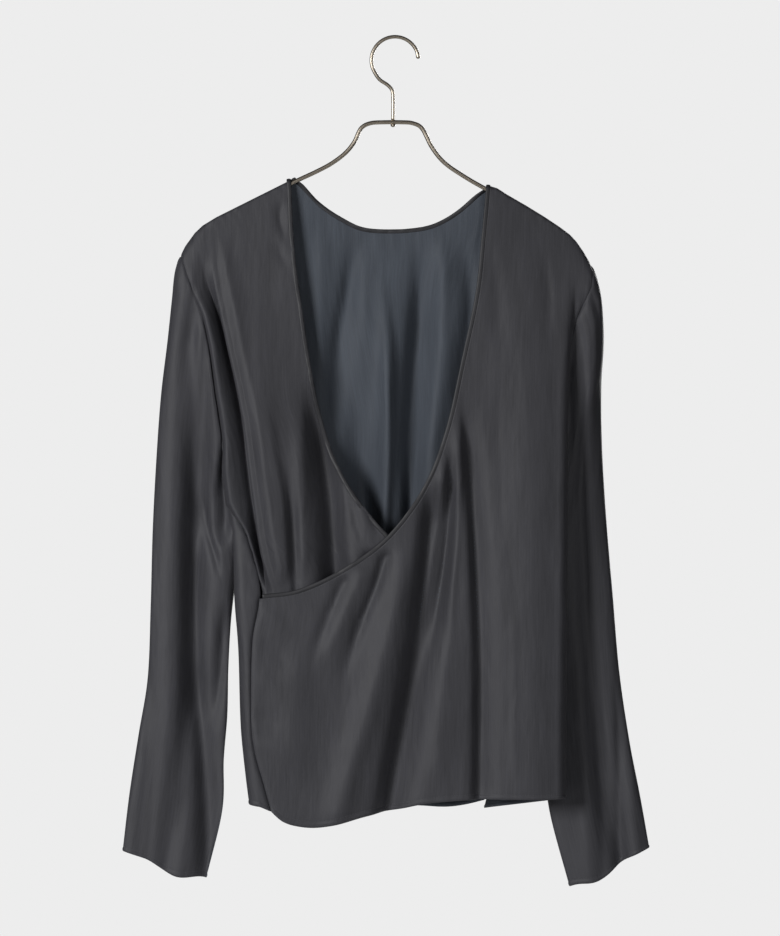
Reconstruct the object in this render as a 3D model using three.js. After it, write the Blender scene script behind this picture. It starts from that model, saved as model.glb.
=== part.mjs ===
// A long-sleeved satin wrap top, hung by its shoulders on a wire hanger.
// Millimetres. X runs to the viewer's right, the front faces -Y, and +Z is up.
// The origin is where a rail carries the hook, on the inside of its top.
import * as THREE from 'three';

// Driving sizes
const WALL = 1.2;
const SEAM_GAP = 0.3;
const HEM_SWELL = 1.7;
const ROLL_WIDTH = 4.4;
const ROLL_THICKNESS = 1.7;
const BAR_RADIUS = 2.1;
const HOOK_WIRE_RADIUS = 1.8;
const BAR_TO_SHOULDER = 3.8;
const OVER_BAR_Y = 3.5;
const FOLD_RADIUS = 11;
const DIP_LEAN = 1.3;
const LAYER_STEP = 4;
const UNDERARM_SPREAD = 1.5;

// Rows of a panel: the armhole takes the first part, down to ARMHOLE_END, and the side seam the rest.
const ARMHOLE_END = 0.42;
const ARMHOLE_ROWS = [0, 0.004, 0.016, 0.05, 0.12, 0.22, 0.34, 0.46, 0.58, 0.69, 0.79, 0.89, 1];
const SIDE_ROWS = 13;

const SATIN = new THREE.MeshStandardMaterial({ name: 'satin', color: 0x333337, roughness: 0.42 });
const BINDING = new THREE.MeshStandardMaterial({ name: 'binding', color: 0x28282b, roughness: 0.5 });
const WIRE = new THREE.MeshStandardMaterial({
  name: 'wire', color: 0xb3a898, roughness: 0.3, metalness: 0.9,
});

const top = new THREE.Group();

// Interpolation
const clamp01 = (t) => Math.min(Math.max(t, 0), 1);
const mix = (a, b, t) => a + (b - a) * t;
const vec = (p) => new THREE.Vector3(p.x, p.y ?? 0, p.z);

function ease(from, to, t) {
  const s = clamp01((t - from) / (to - from));
  return s * s * (3 - 2 * s);
}

// Reads one column of a table at a value of its key column, on a smooth curve through the rows.
function read(table, key, at, column) {
  const last = table.length - 1;
  const rising = table[last][key] > table[0][key] ? 1 : -1;
  let i = 0;
  while (i < last - 1 && rising * (at - table[i + 1][key]) > 0) {
    i += 1;
  }
  const slope = (k) => {
    const a = table[Math.max(k - 1, 0)];
    const b = table[Math.min(k + 1, last)];
    return (b[column] - a[column]) / (b[key] - a[key]);
  };
  const span = table[i + 1][key] - table[i][key];
  const t = clamp01((at - table[i][key]) / span);
  const startWeight = 2 * t ** 3 - 3 * t ** 2 + 1;
  const startPull = (t ** 3 - 2 * t ** 2 + t) * span;
  const endPull = (t ** 3 - t ** 2) * span;
  const { [column]: start } = table[i];
  const { [column]: end } = table[i + 1];
  return startWeight * start + startPull * slope(i) + (1 - startWeight) * end + endPull * slope(i + 1);
}

// Keeps a at least as far back (+Y) as b, with a soft change from one to the other.
function behind(a, b) {
  const soft = 1.5;
  return (a + b + Math.sqrt((a - b) ** 2 + soft ** 2)) / 2;
}

// Outline of the shoulders, along the hanger and off its ends
const shoulderLine = [
  { x: -214.5, z: -219 }, { x: -209, z: -208 }, { x: -199.5, z: -195 }, { x: -191.5, z: -187.5 },
  { x: -177, z: -179 }, { x: -145, z: -163 }, { x: -99, z: -140 }, { x: 93, z: -147 },
  { x: 105, z: -150.5 }, { x: 115, z: -157 }, { x: 134, z: -168 }, { x: 152, z: -179 },
  { x: 167, z: -189 }, { x: 178, z: -197 }, { x: 184, z: -203 }, { x: 191.5, z: -213.5 },
  { x: 200, z: -228 },
];

function shoulderZ(x) {
  const next = shoulderLine.findIndex((p) => p.x > x);
  const i = next < 0 ? shoulderLine.length - 2 : Math.max(next - 1, 0);
  const [a, b] = [shoulderLine[i], shoulderLine[i + 1]];
  return mix(a.z, b.z, clamp01((x - a.x) / (b.x - a.x)));
}

// How far a panel stands from the hanger's plane: over the bar first, then swelling by fullness.
function standOff(x, z, fullness, reach) {
  const drop = Math.max(shoulderZ(x) - z, 0);
  const round = Math.sqrt(1 - (1 - Math.min(drop / BAR_TO_SHOULDER, 1)) ** 2);
  return OVER_BAR_Y * round + fullness * (1 - Math.exp(-Math.max(drop - BAR_TO_SHOULDER, 0) / reach));
}

// Drape folds. Each row is a soft ridge (or trough, where rise is below 0) along a line down the cloth.
const overFolds = [
  { topX: 124, topZ: -215, endX: 134, endZ: -860, width: 30, rise: 6.5 },
  { topX: 62, topZ: -340, endX: 79, endZ: -860, width: 12, rise: -5 },
  { topX: 56, topZ: -395, endX: 22, endZ: -860, width: 17, rise: 5.5 },
  { topX: 34, topZ: -455, endX: -22, endZ: -820, width: 15, rise: -8 },
  { topX: 10, topZ: -500, endX: -74, endZ: -860, width: 17, rise: 7 },
  { topX: -12, topZ: -520, endX: -82, endZ: -740, width: 12, rise: -4 },
  { topX: -96, topZ: -570, endX: -104, endZ: -860, width: 20, rise: 4.5 },
];
const underFolds = [
  { topX: -128, topZ: -190, endX: -116, endZ: -660, width: 22, rise: 5.5 },
  { topX: -96, topZ: -250, endX: -80, endZ: -650, width: 12, rise: -6 },
  { topX: -72, topZ: -370, endX: -48, endZ: -640, width: 14, rise: 5 },
];
const backFolds = [
  { topX: -46, topZ: -195, endX: -66, endZ: -560, width: 15, rise: 5 },
  { topX: -6, topZ: -230, endX: -4, endZ: -860, width: 18, rise: -5.5 },
  { topX: 24, topZ: -195, endX: 14, endZ: -700, width: 13, rise: 5 },
  { topX: 62, topZ: -190, endX: 74, endZ: -860, width: 20, rise: -4 },
  { topX: -92, topZ: -210, endX: -112, endZ: -860, width: 22, rise: -4 },
  { topX: 112, topZ: -230, endX: 96, endZ: -600, width: 18, rise: 4 },
];

function foldRise(folds, x, z) {
  return folds.reduce((sum, fold) => {
    const t = (fold.topZ - z) / (fold.topZ - fold.endZ);
    const fade = ease(-0.06, 0.16, t) * (1 - ease(0.84, 1.1, t));
    const across = (x - mix(fold.topX, fold.endX, t)) / fold.width;
    return sum + fold.rise * fade * Math.exp(-across * across);
  }, 0);
}

function overY(x, z) {
  return -standOff(x, z, 17.5, 100) - foldRise(overFolds, x, z) * ease(0, 60, shoulderZ(x) - z);
}

// The under front lies behind the deepest part of the over front near each point.
function underY(x, z) {
  const own = -standOff(x, z, 13, 110) - foldRise(underFolds, x, z);
  const covered = z < -550 ? 1 : ease(-60, -16, x - read(overNeckLine, 'z', z, 'x'));
  const deepest = Math.max(...[-16, -8, 0, 8, 16].map((aside) => overY(x + aside, z)));
  return mix(own, behind(own, deepest + LAYER_STEP), covered);
}

function backY(x, z) {
  const settled = ease(0, 50, shoulderZ(x) - z) * ease(190, 130, Math.abs(x));
  return standOff(x, z, 6.5, 90) + foldRise(backFolds, x, z) * settled;
}

// Neck edges, each from its shoulder down, at the outer side of the narrow rolled binding
const overNeckLine = [
  { at: 0, x: 93, z: -147 }, { at: 0.1, x: 88, z: -200 }, { at: 0.21, x: 82, z: -255 },
  { at: 0.33, x: 68, z: -322 }, { at: 0.46, x: 52, z: -392 }, { at: 0.58, x: 30, z: -449 },
  { at: 0.68, x: -4, z: -496 }, { at: 0.78, x: -44, z: -527 }, { at: 0.9, x: -93, z: -551 },
  { at: 1, x: -133, z: -557 },
];
const underNeckLine = [
  { at: 0, x: -98, z: -141 }, { at: 0.12, x: -94, z: -215 }, { at: 0.22, x: -86, z: -274 },
  { at: 0.34, x: -75, z: -344 }, { at: 0.41, x: -65.5, z: -385 }, { at: 0.47, x: -53.5, z: -421 },
  { at: 0.53, x: -35.5, z: -453 }, { at: 0.6, x: -10.5, z: -485 }, { at: 0.66, x: 14, z: -507 },
  { at: 0.78, x: 70, z: -538 }, { at: 0.9, x: 130, z: -556 }, { at: 1, x: 165, z: -559 },
];
// The cut edge of the back's neckline, under its binding
const backNeckEdge = [
  { x: -101.7, z: -141.4 }, { x: -100.9, z: -142.1 }, { x: -97.7, z: -144.4 }, { x: -73, z: -169.5 },
  { x: -50, z: -184.6 }, { x: -32, z: -192.7 }, { x: -8, z: -195.2 }, { x: 23, z: -193.7 },
  { x: 44, z: -188.7 }, { x: 67, z: -175.5 }, { x: 93.7, z: -151.8 }, { x: 96.9, z: -149.2 },
  { x: 97.7, z: -148.4 },
];

// A neck edge point, moved into its panel by inset, which is measured square to the edge.
function neckPoint(line, at, inset) {
  const step = 0.01;
  const from = Math.max(at - step, 0);
  const to = Math.min(at + step, 1);
  const alongX = read(line, 'at', to, 'x') - read(line, 'at', from, 'x');
  const alongZ = read(line, 'at', to, 'z') - read(line, 'at', from, 'z');
  const length = Math.hypot(alongX, alongZ);
  return {
    x: read(line, 'at', at, 'x') - inset * alongZ / length,
    z: read(line, 'at', at, 'z') + inset * alongX / length,
  };
}

// Armhole seams, from the top of the shoulder to the underarm
const armholes = {
  leftFront: [
    { x: -214.5, y: 0, z: -219 }, { x: -211, y: -5, z: -225 }, { x: -205, y: -8, z: -241 },
    { x: -192, y: -8, z: -277 }, { x: -184, y: -7, z: -314 }, { x: -179, y: -5, z: -352 },
    { x: -173, y: -2, z: -393 }, { x: -169, y: 0, z: -433 }, { x: -165, y: 3, z: -468 },
  ],
  leftBack: [
    { x: -214.5, y: 0, z: -219 }, { x: -214.5, y: 5, z: -226 }, { x: -212, y: 9, z: -243 },
    { x: -203, y: 12, z: -285 }, { x: -194, y: 13, z: -330 }, { x: -184, y: 13, z: -380 },
    { x: -174, y: 11, z: -428 }, { x: -165, y: 3, z: -468 },
  ],
  rightFront: [
    { x: 200, y: 0, z: -228 }, { x: 200.5, y: -5, z: -236 }, { x: 198, y: -8, z: -252 },
    { x: 189, y: -7, z: -270 }, { x: 180, y: -4, z: -294 }, { x: 172, y: 1, z: -345 },
    { x: 167, y: 5, z: -405 }, { x: 163, y: 9, z: -452 },
  ],
  rightBack: [
    { x: 200, y: 0, z: -228 }, { x: 201, y: 5, z: -236 }, { x: 200, y: 9, z: -254 },
    { x: 196, y: 13, z: -290 }, { x: 187, y: 15, z: -340 }, { x: 176, y: 14, z: -400 },
    { x: 163, y: 9, z: -452 },
  ],
};
const armholePoints = Object.fromEntries(Object.entries(armholes).map(([name, rows]) => {
  const curve = new THREE.CatmullRomCurve3(rows.map(vec));
  return [name, ARMHOLE_ROWS.map((t) => curve.getPointAt(t))];
}));

// Side seams, from the underarm to the hem: the left one shows in front, the right one lies behind.
const leftSeam = [
  { at: ARMHOLE_END, x: -165, y: 3, z: -468 }, { at: 0.48, x: -150, y: 0, z: -492 },
  { at: 0.54, x: -139, y: -5, z: -525 }, { at: 0.6, x: -133, y: -12, z: -559 },
  { at: 0.68, x: -140, y: -13, z: -603 }, { at: 0.8, x: -141.5, y: -13, z: -670 },
  { at: 0.88, x: -139, y: -13, z: -710 }, { at: 0.96, x: -127, y: -14, z: -754 },
  { at: 1, x: -121, y: -14, z: -775 },
];
const rightSeam = [
  { at: ARMHOLE_END, x: 163, y: 9, z: -452 }, { at: 0.55, x: 148, y: 9, z: -524 },
  { at: 0.7, x: 129, y: 9.5, z: -608 }, { at: 0.85, x: 111, y: 10, z: -692 },
  { at: 1, x: 92, y: 10, z: -768.5 },
];
const RIGHT_SEAM_STEP = 4;

// Rows of a panel from the shoulder to the hem, as shares of its length
const rowStations = [
  ...ARMHOLE_ROWS.map((t) => t * ARMHOLE_END),
  ...Array.from({ length: SIDE_ROWS }, (_, k) => mix(ARMHOLE_END, 1, (k + 1) / SIDE_ROWS)),
];

// A point of a panel's side seam, held off the seam line by nudge, and off the other body panel by facing
// (-1 in front, 1 behind) at the shoulder seam and the underarm, where the two meet face to face.
function seamPoint(armhole, seam, row, nudge, facing) {
  const at = rowStations[row];
  const point = row < ARMHOLE_ROWS.length
    ? armholePoints[armhole][row].clone()
    : new THREE.Vector3(read(seam, 'at', at, 'x'), read(seam, 'at', at, 'y'), read(seam, 'at', at, 'z'));
  const nearUnderarm = ease(0.7, 1, at / ARMHOLE_END) * ease(0.56, 0.46, at);
  point.x += nudge * (1 + 2.5 * ease(ARMHOLE_END, 0.48, at) * ease(0.6, 0.57, at));
  point.y += facing * (row === 0 ? SEAM_GAP / 2 : UNDERARM_SPREAD * nearUnderarm);
  return point;
}

// The side of a panel: from its flat part it turns round a fold, dips back by dip, and runs on to a seam.
function turnedSide(start, fold, seam, count, dip = 0) {
  const outward = Math.sign(fold.x - start.x);
  const roundEnd = outward * (seam.x - start.x) > 0 ? seam.x : start.x;
  const pull = (8 * fold.x - start.x - roundEnd) / 6;
  const endZ = roundEnd === seam.x ? seam.z : mix(fold.z, seam.z, 0.25);
  const path = [];
  const steps = 40;
  for (let i = 0; i <= steps; i += 1) {
    const t = i / steps;
    const rise = t * t * (3 - 2 * t);
    const bulge = 4 * t * (1 - t) * (fold.z - (start.z + endZ) / 2);
    const x = (1 - t) ** 3 * start.x + 3 * (1 - t) * t * pull + t ** 3 * roundEnd;
    const y = mix(start.y, seam.y, rise) + dip * Math.sin(Math.PI * t ** DIP_LEAN) ** 2;
    const highest = Math.max(shoulderZ(x), endZ);
    path.push(new THREE.Vector3(x, y, Math.min(mix(start.z, endZ, t) + bulge, highest)));
  }
  if (roundEnd !== seam.x) {
    path.push(seam.clone());
  }
  const line = new THREE.CurvePath();
  path.slice(1).forEach((p, i) => line.add(new THREE.LineCurve3(path[i], p)));
  return Array.from({ length: count }, (_, k) => line.getPointAt(((k + 1) / count) ** 1.35));
}

// Walls from a grid of points on the cloth's middle surface. Along the shoulder seam, on the top row,
// the normal is kept upright so that the front and back meet edge to edge.
function normalsOf(grid, around = false) {
  const rows = grid.length;
  return grid.map((row, i) => row.map((point, j) => {
    const cols = row.length;
    const before = row[around ? (j - 1 + cols) % cols : Math.max(j - 1, 0)];
    const after = row[around ? (j + 1) % cols : Math.min(j + 1, cols - 1)];
    const up = grid[Math.max(i - 1, 0)][j];
    const down = grid[Math.min(i + 1, rows - 1)][j];
    const normal = after.clone().sub(before).cross(down.clone().sub(up));
    if (!around && i === 0 && Math.abs(point.y) < 1) {
      normal.y = 0;
    }
    return normal.normalize();
  }));
}

function closedGeometry(points, triangles) {
  const position = new Float32Array(points.flatMap((p) => [p.x, p.y, p.z]));
  let volume = 0;
  triangles.forEach(([a, b, c]) => {
    volume += points[a].dot(points[b].clone().cross(points[c]));
  });
  const index = volume > 0 ? triangles.flat() : triangles.flatMap(([a, b, c]) => [a, c, b]);
  const geometry = new THREE.BufferGeometry();
  geometry.setAttribute('position', new THREE.BufferAttribute(position, 3));
  geometry.setIndex(index);
  geometry.computeVertexNormals();
  return geometry;
}

function wall(grid, { around = false, hem = false } = {}) {
  const rows = grid.length;
  const cols = grid[0].length;
  const normals = normalsOf(grid, around);
  const halfAt = (i) => (hem && i === rows - 1 ? HEM_SWELL : 1) * WALL / 2;
  const face = (side) => grid.flatMap((row, i) => row.map((p, j) => {
    return p.clone().addScaledVector(normals[i][j], side * halfAt(i));
  }));
  const points = [...face(1), ...face(-1)];
  const inner = rows * cols;
  const id = (i, j) => i * cols + (j % cols);
  const triangles = [];
  const quad = (a, b, c, d) => {
    const shortDiagonal = points[a].distanceTo(points[c]) <= points[b].distanceTo(points[d]);
    triangles.push(...(shortDiagonal ? [[a, b, c], [a, c, d]] : [[a, b, d], [b, c, d]]));
  };
  const lastCol = around ? cols : cols - 1;
  for (let i = 0; i < rows - 1; i += 1) {
    for (let j = 0; j < lastCol; j += 1) {
      const [a, b, c, d] = [id(i, j), id(i + 1, j), id(i + 1, j + 1), id(i, j + 1)];
      quad(a, b, c, d);
      quad(d + inner, c + inner, b + inner, a + inner);
    }
  }
  for (let j = 0; j < lastCol; j += 1) {
    quad(id(0, j + 1), id(0, j + 1) + inner, id(0, j) + inner, id(0, j));
    quad(id(rows - 1, j), id(rows - 1, j) + inner, id(rows - 1, j + 1) + inner, id(rows - 1, j + 1));
  }
  for (let i = 0; i < rows - 1 && !around; i += 1) {
    quad(id(i, 0), id(i, 0) + inner, id(i + 1, 0) + inner, id(i + 1, 0));
    quad(id(i + 1, cols - 1), id(i + 1, cols - 1) + inner, id(i, cols - 1) + inner, id(i, cols - 1));
  }
  return closedGeometry(points, triangles);
}

// A tube with shaped sections, closed at both ends
function sweep(sections) {
  const sides = sections[0].length;
  const points = sections.flat();
  const triangles = [];
  for (let i = 0; i < sections.length - 1; i += 1) {
    for (let j = 0; j < sides; j += 1) {
      const [a, b] = [i * sides + j, i * sides + (j + 1) % sides];
      triangles.push([a, b, b + sides], [a, b + sides, a + sides]);
    }
  }
  const lastStart = (sections.length - 1) * sides;
  for (let j = 1; j < sides - 1; j += 1) {
    triangles.push([0, j + 1, j], [lastStart, lastStart + j, lastStart + j + 1]);
  }
  return closedGeometry(points, triangles);
}

function addPiece(name, geometry, material) {
  const piece = new THREE.Mesh(geometry, material);
  piece.name = name;
  top.add(piece);
  return piece;
}

// The rolled binding of an edge: an oval roll just outside the panel's edge points, on the side that
// side gives (1 or -1).
function rollAlong(edge, normals, side) {
  const facets = 8;
  const sections = edge.map((point, k) => {
    const along = edge[Math.min(k + 1, edge.length - 1)].clone().sub(edge[Math.max(k - 1, 0)]).normalize();
    const out = along.cross(normals[k]).normalize().multiplyScalar(side);
    const centre = point.clone().addScaledVector(out, SEAM_GAP + ROLL_WIDTH / 2);
    return Array.from({ length: facets }, (_, s) => {
      const angle = 2 * Math.PI * s / facets;
      return centre.clone()
        .addScaledVector(out, Math.cos(angle) * ROLL_WIDTH / 2)
        .addScaledVector(normals[k], Math.sin(angle) * ROLL_THICKNESS / 2);
    });
  });
  return sweep(sections);
}

const EDGE_INSET = ROLL_WIDTH + SEAM_GAP;

// The over front: from the right shoulder across to the left side seam, and round the right side to
// its seam
const overHem = [
  { x: -121, z: -775 }, { x: -110, z: -784 }, { x: -96, z: -788.5 }, { x: -78, z: -790 },
  { x: -57, z: -787 }, { x: -28, z: -779 }, { x: 7, z: -772 }, { x: 28, z: -767 }, { x: 59, z: -763.5 },
  { x: 92, z: -762 }, { x: 142, z: -762 }, { x: 174, z: -761.5 },
];
// Straight lines between the ends of each hem, which the shaped hems depart from
const hemBase = (hem, x) => mix(hem[0].z, hem.at(-1).z, (x - hem[0].x) / (hem.at(-1).x - hem[0].x));
const HEM_SHAPED_FROM = 0.76;
const overRightFold = [
  { at: 0, x: 185, z: -204.5 }, { at: 0.02, x: 184.5, z: -216 }, { at: 0.05, x: 183.5, z: -233 },
  { at: 0.1, x: 181, z: -262 }, { at: 0.2, x: 177, z: -322 }, { at: 0.3, x: 175.5, z: -380 },
  { at: 0.42, x: 175, z: -446 }, { at: 0.6, x: 174.5, z: -549 }, { at: 0.8, x: 173.5, z: -657 },
  { at: 1, x: 173, z: -761.5 },
];
const NECK_END = 0.732;
const SHOULDER_SLOPE_END = 0.14;
const OVER_COLUMNS = 15;
const OVER_SIDE_COLUMNS = 8;

function overLeftEnd(at) {
  if (at <= NECK_END + 0.001) {
    return neckPoint(overNeckLine, at / NECK_END, EDGE_INSET);
  }
  const down = mix(0.6, 1, (at - NECK_END) / (1 - NECK_END));
  return { x: read(leftSeam, 'at', down, 'x') + SEAM_GAP / 2, z: read(leftSeam, 'at', down, 'z') };
}

const overGrid = rowStations.map((at, row) => {
  const left = overLeftEnd(at);
  const fold = { x: read(overRightFold, 'at', at, 'x'), z: read(overRightFold, 'at', at, 'z') };
  const onArmhole = row < ARMHOLE_ROWS.length;
  const seam = seamPoint('rightFront', rightSeam, row, (onArmhole ? -1 : 1) * SEAM_GAP / 2, -1);
  seam.z -= RIGHT_SEAM_STEP * ease(0.85, 1, at);
  const flatEnd = fold.x - FOLD_RADIUS;
  const points = [];
  for (let j = 0; j <= OVER_COLUMNS; j += 1) {
    const x = mix(left.x, flatEnd, j / OVER_COLUMNS);
    const rowZ = mix(left.z, fold.z, (x - left.x) / (fold.x - left.x));
    const shoulderRow = shoulderZ(x) - (shoulderZ(left.x) - left.z);
    const hemDrop = (read(overHem, 'x', x, 'z') - hemBase(overHem, x)) * ease(HEM_SHAPED_FROM, 1, at);
    const z = mix(shoulderRow, rowZ, ease(0, SHOULDER_SLOPE_END, at)) + hemDrop;
    points.push(new THREE.Vector3(x, row === 0 ? -SEAM_GAP / 2 : overY(x, z), z));
  }
  return [...points, ...turnedSide(points[OVER_COLUMNS], fold, seam, OVER_SIDE_COLUMNS)];
});
addPiece('front_over', wall(overGrid, { hem: true }), SATIN);

// The under front: from the left shoulder down behind the over front
const underLeftFold = [
  { at: 0, x: -191, z: -187.5 }, { at: 0.05, x: -188, z: -222 }, { at: 0.1, x: -183, z: -256 },
  { at: 0.2, x: -170, z: -313 }, { at: 0.3, x: -156, z: -377 }, { at: 0.42, x: -145, z: -458 },
  { at: 0.5, x: -137, z: -512 }, { at: 0.6, x: -127, z: -560 }, { at: 1, x: -112, z: -775 },
];
const UNDER_COLUMNS = 14;
const UNDER_SIDE_COLUMNS = 5;
const UNDER_RIGHT_END = 160;
const UNDER_RIGHT_NECK_Z = -566;
const UNDER_RIGHT_HEM_Z = -757;
const UNDER_HEM_LIFT = 5;
const UNDER_DIP = 6;
const underHemWidth = UNDER_RIGHT_END - underLeftFold.at(-1).x;

const underGrid = rowStations.map((at, row) => {
  const onNeck = at <= NECK_END + 0.001;
  const belowNeck = (at - NECK_END) / (1 - NECK_END);
  const right = onNeck
    ? neckPoint(underNeckLine, at / NECK_END, -EDGE_INSET)
    : { x: UNDER_RIGHT_END, z: mix(UNDER_RIGHT_NECK_Z, UNDER_RIGHT_HEM_Z, belowNeck) };
  right.x = Math.min(right.x, UNDER_RIGHT_END);
  const fold = { x: read(underLeftFold, 'at', at, 'x'), z: read(underLeftFold, 'at', at, 'z') };
  const seam = seamPoint('leftFront', leftSeam, row, SEAM_GAP / 2, -1);
  const sewnBehind = ease(0.55, 0.6, at);
  seam.x += 2.5 * sewnBehind;
  seam.y += LAYER_STEP * sewnBehind;
  seam.z += UNDER_HEM_LIFT * ease(0.6, 1, at);
  const flatStart = fold.x + FOLD_RADIUS;
  const dip = UNDER_DIP * ease(0, 0.06, at) * ease(0.5, 0.36, at);
  const points = [];
  for (let j = 0; j <= UNDER_COLUMNS; j += 1) {
    const x = mix(flatStart, right.x, j / UNDER_COLUMNS);
    const rowZ = mix(fold.z, right.z, (x - fold.x) / (right.x - fold.x));
    const shoulderRow = shoulderZ(x) - (shoulderZ(right.x) - right.z);
    const { x: hemX, z: hemZ } = underLeftFold.at(-1);
    const hemLine = mix(hemZ, UNDER_RIGHT_HEM_Z, (x - hemX) / underHemWidth);
    const hemDrop = (read(overHem, 'x', x, 'z') + UNDER_HEM_LIFT - hemLine) * ease(HEM_SHAPED_FROM, 1, at);
    const z = mix(shoulderRow, rowZ, ease(0, SHOULDER_SLOPE_END, at)) + hemDrop;
    points.push(new THREE.Vector3(x, row === 0 ? -SEAM_GAP / 2 : underY(x, z), z));
  }
  return [...turnedSide(points[0], fold, seam, UNDER_SIDE_COLUMNS, dip).reverse(), ...points];
});
addPiece('front_under', wall(underGrid, { hem: true }), SATIN);

// The back: both shoulders and the neckline on its top row, and the left side brought round to the front
const backLeftFold = [
  { at: 0, x: -196, z: -191.5 }, { at: 0.1, x: -196, z: -262 }, { at: 0.2, x: -188, z: -322 },
  { at: 0.3, x: -176, z: -385 }, { at: 0.42, x: -164, z: -466 }, { at: 0.5, x: -160.5, z: -505 },
  { at: 0.6, x: -159, z: -560 }, { at: 0.7, x: -155, z: -612 }, { at: 0.85, x: -152.5, z: -690 },
  { at: 0.93, x: -148.5, z: -732 }, { at: 1, x: -144, z: -768 },
];
const backHem = [
  { x: -144, z: -768 }, { x: -100, z: -772 }, { x: -40, z: -771 }, { x: 23, z: -770 }, { x: 45, z: -771.5 },
  { x: 60, z: -771 }, { x: 76, z: -768.5 }, { x: 92, z: -764.5 },
];
const BACK_SIDE_COLUMNS = 6;
const BACK_LEFT_START = -185;
const BACK_RIGHT_END = shoulderLine.at(-1).x;
const BACK_TOP_SLOPE_END = 0.46;

// Columns of the back where they meet its top edge, close together where the neckline crosses the bar
const spread = (from, to, steps) => Array.from({ length: steps }, (_, k) => mix(from, to, k / steps));
const backTopColumns = [
  ...spread(BACK_LEFT_START, -101.7, 4), -101.7, -100.9, ...spread(-97.7, 93.7, 10), 93.7, 96.9,
  ...spread(97.7, BACK_RIGHT_END, 5), BACK_RIGHT_END,
];

function backTopZ(x) {
  const inNeck = x >= backNeckEdge[0].x && x <= backNeckEdge.at(-1).x;
  return inNeck ? read(backNeckEdge, 'x', x, 'z') : shoulderZ(x);
}

const backGrid = rowStations.map((at, row) => {
  const fold = { x: read(backLeftFold, 'at', at, 'x'), z: read(backLeftFold, 'at', at, 'z') };
  const onArmhole = row < ARMHOLE_ROWS.length;
  const leftSide = seamPoint('leftBack', leftSeam, row, (onArmhole ? 1 : -1) * SEAM_GAP / 2, 1);
  const right = seamPoint('rightBack', rightSeam, row, -SEAM_GAP / 2, 1);
  right.z += RIGHT_SEAM_STEP * ease(0.85, 1, at);
  const flatStart = fold.x + FOLD_RADIUS;
  const points = backTopColumns.map((topX) => {
    const share = (topX - BACK_LEFT_START) / (BACK_RIGHT_END - BACK_LEFT_START);
    const x = mix(flatStart, right.x, share);
    const rowLine = mix(fold.z, right.z, share);
    const topLine = rowLine - mix(backLeftFold[0].z, shoulderLine.at(-1).z, share);
    const hemDrop = (read(backHem, 'x', x, 'z') - hemBase(backHem, x)) * ease(HEM_SHAPED_FROM, 1, at);
    const z = mix(backTopZ(topX) + topLine, rowLine, ease(0, BACK_TOP_SLOPE_END, at)) + hemDrop;
    const settle = ease(mix(0.95, 0.72, ease(0.02, 0.2, at)), 1, share);
    const onSeam = row === 0 && shoulderZ(x) - z < 0.5;
    return new THREE.Vector3(x, onSeam ? SEAM_GAP / 2 : mix(backY(x, z), right.y, settle), z);
  });
  return [...turnedSide(points[0], fold, leftSide, BACK_SIDE_COLUMNS).reverse(), ...points];
});
addPiece('back', wall(backGrid, { hem: true }), SATIN);

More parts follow.
